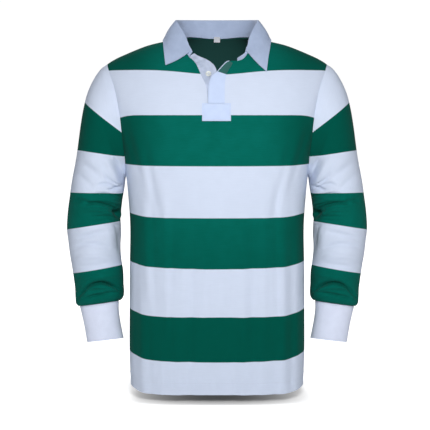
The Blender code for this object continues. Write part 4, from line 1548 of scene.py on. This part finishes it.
# %% Shell and thread
THREAD_WHITE = linear(206, 213, 228)


def make_pearl():
    """Pale shell with soft clouds under a glossy face."""
    finish = Finish("pearl_button", 0.22, 0.5)
    cloud = finish.noise(220.0, 3.0).ramp(0.35, 0.65)
    finish.colour(finish.mix(cloud, linear(196, 203, 204), linear(228, 231, 227)))
    finish.rough(0.2 + cloud * 0.12)
    return finish.material


def make_thread():
    """Twisted cotton thread."""
    finish = Finish("sewing_thread", 0.7, 0.2, 0.05)
    twist = finish.noise(2600.0, 2.0)
    finish.colour(finish.mix(twist.ramp(0.3, 0.7), THREAD_WHITE, linear(182, 190, 208)))
    finish.bump(twist, 0.1 * MM, 0.5)
    return finish.material


print("thread's light:", [round(value, 2) for value in THREAD_WHITE[:3]])

# %% [markdown]
# The button lies on the under placket, where the open neck leaves it in view. It is
# turned with a raised rim and a dished middle, and has four holes. A Screw modifier could
# turn the profile and a Boolean could drill it. One polar grid does both, because the
# holes are only sunk into its face.

# %% Button
BUTTON_X, BUTTON_Z = -18.5, -79.4
BUTTON_RADIUS, BUTTON_HEIGHT = 6.4, 2.6
BUTTON_PROFILE = table(
    "radius height",
    [
        (0.00, 0.00),
        (0.62, 0.00),
        (0.94, 0.18),
        (1.00, 0.50),
        (0.95, 0.86),
        (0.84, 1.00),
        (0.70, 0.90),
        (0.58, 0.62),
        (0.30, 0.56),
        (0.00, 0.56),
    ],
)
BUTTON_SIDES, BUTTON_STEPS = 96, 10
FACE_ROWS = 3
HOLE_PLACE, HOLE_RADIUS, HOLE_DEPTH, HOLE_EDGE = 1.5, 0.75, 1.0, 0.2


def make_plain_mesh(name, points, faces, finish):
    """A mesh in metres, without yarns."""
    mesh = bpy.data.meshes.new(name)
    mesh.from_pydata(np.asarray(points).tolist(), [], faces)
    return add_piece(mesh, finish, TURNED_CORNER)


def button_frame():
    """The button's seat in metres, its axis, and the two directions across it."""
    x, z = np.array([[BUTTON_X]]), np.array([[BUTTON_Z]])
    under = -(JERSEY + UNDER_LAP)
    seat = lie_on_body(x, z, under + SEAM * MM)[0, 0]
    axis = surface_normals(x, z)[0, 0]
    level = unit(np.cross(axis, np.array((0, 0, 1.0))))
    return seat, axis, level, np.cross(level, axis)


def make_button():
    """The dished button with its four sunk holes."""
    seat, axis, level, rise = button_frame()
    index = np.arange(len(BUTTON_PROFILE["radius"]), dtype=float)
    at = np.linspace(0, index[-1], int(index[-1]) * BUTTON_STEPS + 1)[1:-1]
    radius = np.interp(at, index, BUTTON_PROFILE["radius"])[:, None] * BUTTON_RADIUS
    height = np.interp(at, index, BUTTON_PROFILE["height"])[:, None] * BUTTON_HEIGHT
    turn = 2 * math.pi * np.arange(BUTTON_SIDES)[None, :] / BUTTON_SIDES
    across, up = radius * np.cos(turn), radius * np.sin(turn)
    nearest = np.hypot(np.abs(across) - HOLE_PLACE, np.abs(up) - HOLE_PLACE)
    face = (at > index[-1] - FACE_ROWS)[:, None]
    height = height - HOLE_DEPTH * face * np.clip((HOLE_RADIUS - nearest) / HOLE_EDGE, 0, 1)
    grid = across[..., None] * level + up[..., None] * rise + height[..., None] * axis
    points = (seat + grid * MM).reshape(-1, 3)
    rows = len(at)
    r, c = np.meshgrid(np.arange(rows - 1), np.arange(BUTTON_SIDES), indexing="ij")
    a, b = (r * BUTTON_SIDES + c).ravel(), (r * BUTTON_SIDES + (c + 1) % BUTTON_SIDES).ravel()
    faces = np.stack((b, a, a + BUTTON_SIDES, b + BUTTON_SIDES), axis=1).tolist()
    faces.append(list(range(BUTTON_SIDES)))
    last = (rows - 1) * BUTTON_SIDES
    faces.append([last + BUTTON_SIDES - 1 - n for n in range(BUTTON_SIDES)])
    made = make_plain_mesh("shirt_button", points, faces, make_pearl())
    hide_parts("button")


make_button()

# %% [markdown]
# A folded label tape hangs inside the back neck, from under the neck tape. It is plain,
# and its lower end curls a little away from the cloth behind it.

# %% Size label
LABEL_HALF_WIDTH = 7.0
LABEL_TOP_Z, LABEL_FOOT_Z = 8.8, -3.2
LABEL_INSET, LABEL_CURL, LABEL_UNEVEN = 4.3, 1.2, 0.3
LABEL_THICKNESS = 0.8
LABEL_RIB, LABEL_RIB_DEPTH = 0.8, 0.08 * MM
LABEL_COLUMNS, LABEL_ROWS = 13, 15


def make_label_tape():
    """Close woven satin tape."""
    finish = Finish("label_tape", 0.5, 0.3, 0.1)
    rib = abs((finish.yarn()[1] / LABEL_RIB).part() - 0.5) * 2
    weave = finish.noise(500.0, 2.0).ramp(0.3, 0.7)
    finish.colour(finish.mix(weave, linear(242, 245, 252), linear(234, 238, 248)))
    finish.bump(rib, LABEL_RIB_DEPTH, 0.6)
    return finish.material


def make_label():
    """The plain label as a small double tape."""
    across = np.linspace(-LABEL_HALF_WIDTH, LABEL_HALF_WIDTH, LABEL_COLUMNS)
    x, z = np.meshgrid(across, np.linspace(LABEL_FOOT_Z, LABEL_TOP_Z, LABEL_ROWS))
    down = (LABEL_TOP_Z - z) / (LABEL_TOP_Z - LABEL_FOOT_Z)
    uneven = 1 - LABEL_UNEVEN + LABEL_UNEVEN * x / LABEL_HALF_WIDTH
    y = body_y(x, z, 1) - LABEL_INSET - LABEL_CURL * down**2 * uneven
    face = np.stack((x, y - LABEL_THICKNESS, z), axis=-1) * MM
    behind = np.stack((x, y, z), axis=-1) * MM
    made = make_wall("label_size", face, behind, make_label_tape())
    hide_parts("size_label")


make_label()

# %% [markdown]
# All the sewing follows one rule: a line of stitches runs a set distance inside an edge of
# a piece. Each stitch is a small spindle of thread that dips into the cloth at both ends.
# The table names the piece, the edge and the distance in millimetres. An Array modifier
# along a curve could set them out, but one mesh for each group is lighter.

# %% Stitching
STITCH_LINES = [
    ("hem", "cloth_front", "foot", HEM_STITCH),
    ("hem", "cloth_back", "foot", HEM_STITCH),
    ("collar", "cloth_collar", "top", 5.0),
    ("collar", "cloth_collar", "left", 5.0),
    ("collar", "cloth_collar", "right", 5.0),
    ("cuffs", "cloth_cuff_left", "foot", 4.0),
    ("cuffs", "cloth_cuff_left", "top", 4.0),
    ("cuffs", "cloth_cuff_right", "foot", 4.0),
    ("cuffs", "cloth_cuff_right", "top", 4.0),
    ("placket", "cloth_placket_top", "left", 2.0),
    ("placket", "cloth_placket_under", "left", 2.0),
    ("placket", "cloth_placket_box", "foot", 2.2),
    ("placket", "cloth_placket_box", "top", 2.2),
    ("placket", "cloth_placket_box", "left", 2.2),
    ("placket", "cloth_placket_box", "right", 2.2),
    ("tape", "cloth_neck_tape", "foot", 1.6),
    ("tape", "cloth_neck_tape", "top", 1.6),
]
STITCH_PITCH, STITCH_LENGTH = 2.7, 2.0
STITCH_RADIUS, STITCH_RISE = 0.32, 0.12
STITCH_RINGS = ((-0.5, 0.0), (-0.3, 1.0), (0.3, 1.0), (0.5, 0.0))
STITCH_SIDES, STITCH_TIP = 4, 0.15
LEAF_FROM = 0.45


def inset_line(name, edge, inset):
    """Points and normals a distance inside one edge of a piece, in metres."""
    grid, normals = skins[name]
    if name == "cloth_collar":
        first = int(len(grid) * LEAF_FROM)
        grid, normals = grid[first:], normals[first:]
    if edge in ("left", "right"):
        grid, normals = grid.swapaxes(0, 1), normals.swapaxes(0, 1)
    if edge in ("top", "right"):
        grid, normals = grid[::-1], normals[::-1]
    steps = np.linalg.norm(np.diff(grid, axis=0), axis=-1)
    away = np.concatenate((np.zeros((1, grid.shape[1])), np.cumsum(steps, axis=0)))
    points, facing = [], []
    for c in range(grid.shape[1]):
        points.append([np.interp(inset * MM, away[:, c], grid[:, c, k]) for k in range(3)])
        facing.append([np.interp(inset * MM, away[:, c], normals[:, c, k]) for k in range(3)])
    return np.array(points), unit(np.array(facing))


def spindles(points, facing, trim):
    """Stitches along a line of points, left out within the trim of its ends."""
    steps = np.linalg.norm(np.diff(points, axis=0), axis=-1)
    length = np.concatenate(([0], np.cumsum(steps)))
    count = int((length[-1] - 2 * trim * MM) / (STITCH_PITCH * MM))
    at = trim * MM + (np.arange(count) + 0.5) * STITCH_PITCH * MM
    step = 0.5 * MM

    def read(values, places):
        return np.stack([np.interp(places, length, values[:, k]) for k in range(3)], axis=-1)

    middle = read(points, at)
    along_line = unit(read(points, at + step) - read(points, at - step))
    outward = unit(read(facing, at))
    side = unit(np.cross(outward, along_line))
    corners = []
    for run, size in STITCH_RINGS:
        for n in range(STITCH_SIDES):
            turn = 2 * math.pi * n / STITCH_SIDES
            around = side * math.cos(turn) + outward * math.sin(turn)
            lift = STITCH_RISE * (2 * size - 1)
            place = middle + along_line * run * STITCH_LENGTH * MM + outward * lift * MM
            thick = STITCH_TIP + (1 - STITCH_TIP) * size
            corners.append(place + around * thick * STITCH_RADIUS * MM)
    return np.stack(corners, axis=1)


def spindle_faces(count):
    """Faces of that many stitches."""
    one = []
    rings = len(STITCH_RINGS)
    for r in range(rings - 1):
        for n in range(STITCH_SIDES):
            a = r * STITCH_SIDES + n
            b = r * STITCH_SIDES + (n + 1) % STITCH_SIDES
            one.append((a, b, b + STITCH_SIDES, a + STITCH_SIDES))
    one.append(tuple(reversed(range(STITCH_SIDES))))
    one.append(tuple(range((rings - 1) * STITCH_SIDES, rings * STITCH_SIDES)))
    shift = np.arange(count)[:, None, None] * rings * STITCH_SIDES
    return (np.array(one)[None] + shift).reshape(-1, STITCH_SIDES)


def make_stitching(group, finish):
    """All the stitches of one group as one mesh."""
    made = []
    for which, name, edge, inset in STITCH_LINES:
        if which == group:
            trim = 0.0 if "cuff" in name or group == "hem" else inset
            made.append(spindles(*inset_line(name, edge, inset), trim))
    made = np.concatenate(made)
    faces = spindle_faces(len(made)).tolist()
    make_plain_mesh("stitches_" + group, made.reshape(-1, 3), faces, finish)


thread = make_thread()
for group_name in ("hem", "collar", "cuffs", "placket", "tape"):
    make_stitching(group_name, thread)

# %% [markdown]
# Two more strands cross over the button and hold it. Each is a bent tube whose ends dip
# into two opposite holes.

# %% Thread of the button
THREAD_RINGS, THREAD_SIDES = 9, 6
THREAD_REACH, THREAD_BOW, THREAD_DIP = 1.35, 0.55, 0.5
THREAD_HALF_WIDTH, THREAD_HALF_HEIGHT = 0.5, 0.35


def make_button_thread(finish):
    """The crossed thread over the button's middle."""
    seat, axis, level, rise = button_frame()
    middle = seat + axis * BUTTON_HEIGHT * BUTTON_PROFILE["height"][-1] * MM
    corners, faces = [], []
    for diagonal in (unit(level + rise), unit(level - rise)):
        side = np.cross(axis, diagonal)
        for run in np.linspace(-1, 1, THREAD_RINGS):
            first = len(corners)
            bow = THREAD_BOW * (1 - run * run) - THREAD_DIP * run * run
            place = middle + (diagonal * run * HOLE_PLACE * THREAD_REACH + axis * bow) * MM
            for n in range(THREAD_SIDES):
                turn = 2 * math.pi * n / THREAD_SIDES
                wide = side * math.cos(turn) * THREAD_HALF_WIDTH
                high = axis * math.sin(turn) * THREAD_HALF_HEIGHT
                corners.append(place + (wide + high) * MM)
                if run < 1:
                    a, b = first + n, first + (n + 1) % THREAD_SIDES
                    faces.append((a, b, b + THREAD_SIDES, a + THREAD_SIDES))
    make_plain_mesh("button_thread", corners, faces, finish)


make_button_thread(thread)

# %% [markdown]
# The camera stands two and a half metres away at chest height, tilted down a little. It
# was found by fitting the hoops, which look curved by a known amount from there.

# %% Camera
IMAGE_SIDE = 430.0
FOCAL_PIXELS = 1113.0
SENSOR = 36.0
CAMERA_PLACE = (-0.00449, -2.5, -0.1685)
CAMERA_TILT = 5.13
lens = bpy.data.cameras.new("camera")
lens.sensor_width = SENSOR
lens.lens = SENSOR * FOCAL_PIXELS / IMAGE_SIDE
camera = bpy.data.objects.new("camera", lens)
camera.location = CAMERA_PLACE
camera.rotation_euler = (math.radians(90 - CAMERA_TILT), 0, 0)
bpy.context.scene.collection.objects.link(camera)
bpy.context.scene.camera = camera
print("focal length, mm:", round(lens.lens, 1))

# %% [markdown]
# A plain pale floor just under the hem catches a soft shadow. To the camera the floor also
# glows, like a table lit from below, and that glow fades out in an oval under the shirt: a
# painted shadow, which makes the shadow deeper than the lamps alone would.

# %% Floor
FLOOR_Z = -0.797
FLOOR_REACH = 12.0
FLOOR_GLOW, FLOOR_FILL = 1.0, 0.12
SHADOW_HALF_X, SHADOW_HALF_Y, SHADOW_POWER = 0.34, 0.147, 8.0
SHADOW_FROM, SHADOW_TO = -0.12, 0.8


def make_floor():
    """A wide pale floor that glows to the camera, with a painted shadow under the hem."""
    mesh = bpy.data.meshes.new("floor")
    corners = [(x, y, FLOOR_Z) for x, y in ((-1, -1), (1, -1), (1, 1), (-1, 1))]
    corners = [(x * FLOOR_REACH, y * FLOOR_REACH, z) for x, y, z in corners]
    mesh.from_pydata(corners, [], [(0, 1, 2, 3)])
    finish = Finish("pale_floor", 0.9, 0.0)
    finish.colour((0.9, 0.9, 0.9, 1.0))
    place = finish.node("ShaderNodeTexCoord", {}).outputs["Object"]
    split = finish.node("ShaderNodeSeparateXYZ", {}, place)
    # Painted shadow: an oval under the hem where the floor's glow fades out.
    across = Value(finish, split.outputs["X"]) / SHADOW_HALF_X
    away = Value(finish, split.outputs["Y"]) / SHADOW_HALF_Y
    reach = across * across + abs(away).maths("POWER", SHADOW_POWER)
    lit = reach.ramp(SHADOW_FROM, SHADOW_TO)
    seen = Value(finish, finish.node("ShaderNodeLightPath", {}).outputs["Is Camera Ray"])
    glow = FLOOR_FILL + seen * (lit * FLOOR_GLOW - FLOOR_FILL)
    finish.put(finish.shader.inputs["Emission Color"], glow)
    finish.shader.inputs["Emission Strength"].default_value = 1.0
    mesh.materials.append(finish.material)
    floor = bpy.data.objects.new("floor", mesh)
    bpy.context.scene.collection.objects.link(floor)


make_floor()
print("floor below the hem, metres:", round(HEM_Z * MM - FLOOR_Z, 3))

# %% [markdown]
# The light is a product studio's: one soft source in front does nearly all of it, so the
# cloth darkens as it turns away at the sides, and a broader one lights the back. The white
# room adds little light, and is even to the camera.

# %% Lamps and room
ROOM_FRONT, ROOM_SIDE = 0.30, 0.08
ROOM_TURN = (0.2, 0.9)
ROOM_WHITE = 1.02


def soft_light(name, place, aim, size, watts):
    """A square soft light that faces a point."""
    lamp = bpy.data.lights.new(name, "AREA")
    lamp.shape = "SQUARE"
    lamp.size = size
    lamp.energy = watts
    made = bpy.data.objects.new(name, lamp)
    made.location = place
    toward = np.array(aim, float) - np.array(place, float)
    pitch = math.atan2(math.hypot(toward[0], toward[1]), -toward[2])
    turn = math.atan2(toward[1], toward[0]) - math.pi / 2
    made.rotation_euler = (pitch, 0, turn)
    bpy.context.scene.collection.objects.link(made)


def make_room():
    """A white room, dimmer at both sides as a light, and even to the camera."""
    world = bpy.data.worlds.new("studio")
    bpy.context.scene.world = world
    room = Tree(world)
    place = room.node("ShaderNodeTexCoord", {}).outputs["Generated"]
    split = room.node("ShaderNodeSeparateXYZ", {}, place)
    sideways = abs(Value(room, split.outputs["X"]))
    light = ROOM_FRONT + (ROOM_SIDE - ROOM_FRONT) * sideways.ramp(*ROOM_TURN)
    seen = room.node("ShaderNodeLightPath", {}).outputs["Is Camera Ray"]
    strength = light + (ROOM_WHITE - light) * Value(room, seen)
    background = room.nodes["Background"]
    background.inputs["Color"].default_value = (1, 1, 1, 1)
    room.put(background.inputs["Strength"], strength)


make_room()
soft_light("key", place=(0.12, -2.2, 0.62), aim=(0, 0, -0.22), size=0.6, watts=39.5)
soft_light("back", place=(-0.7, 2.3, 1.0), aim=(0, 0, -0.3), size=1.2, watts=24.0)
bpy.context.scene.view_settings.view_transform = "Standard"
print("lamps:", sorted(lamp.name for lamp in bpy.data.lights))
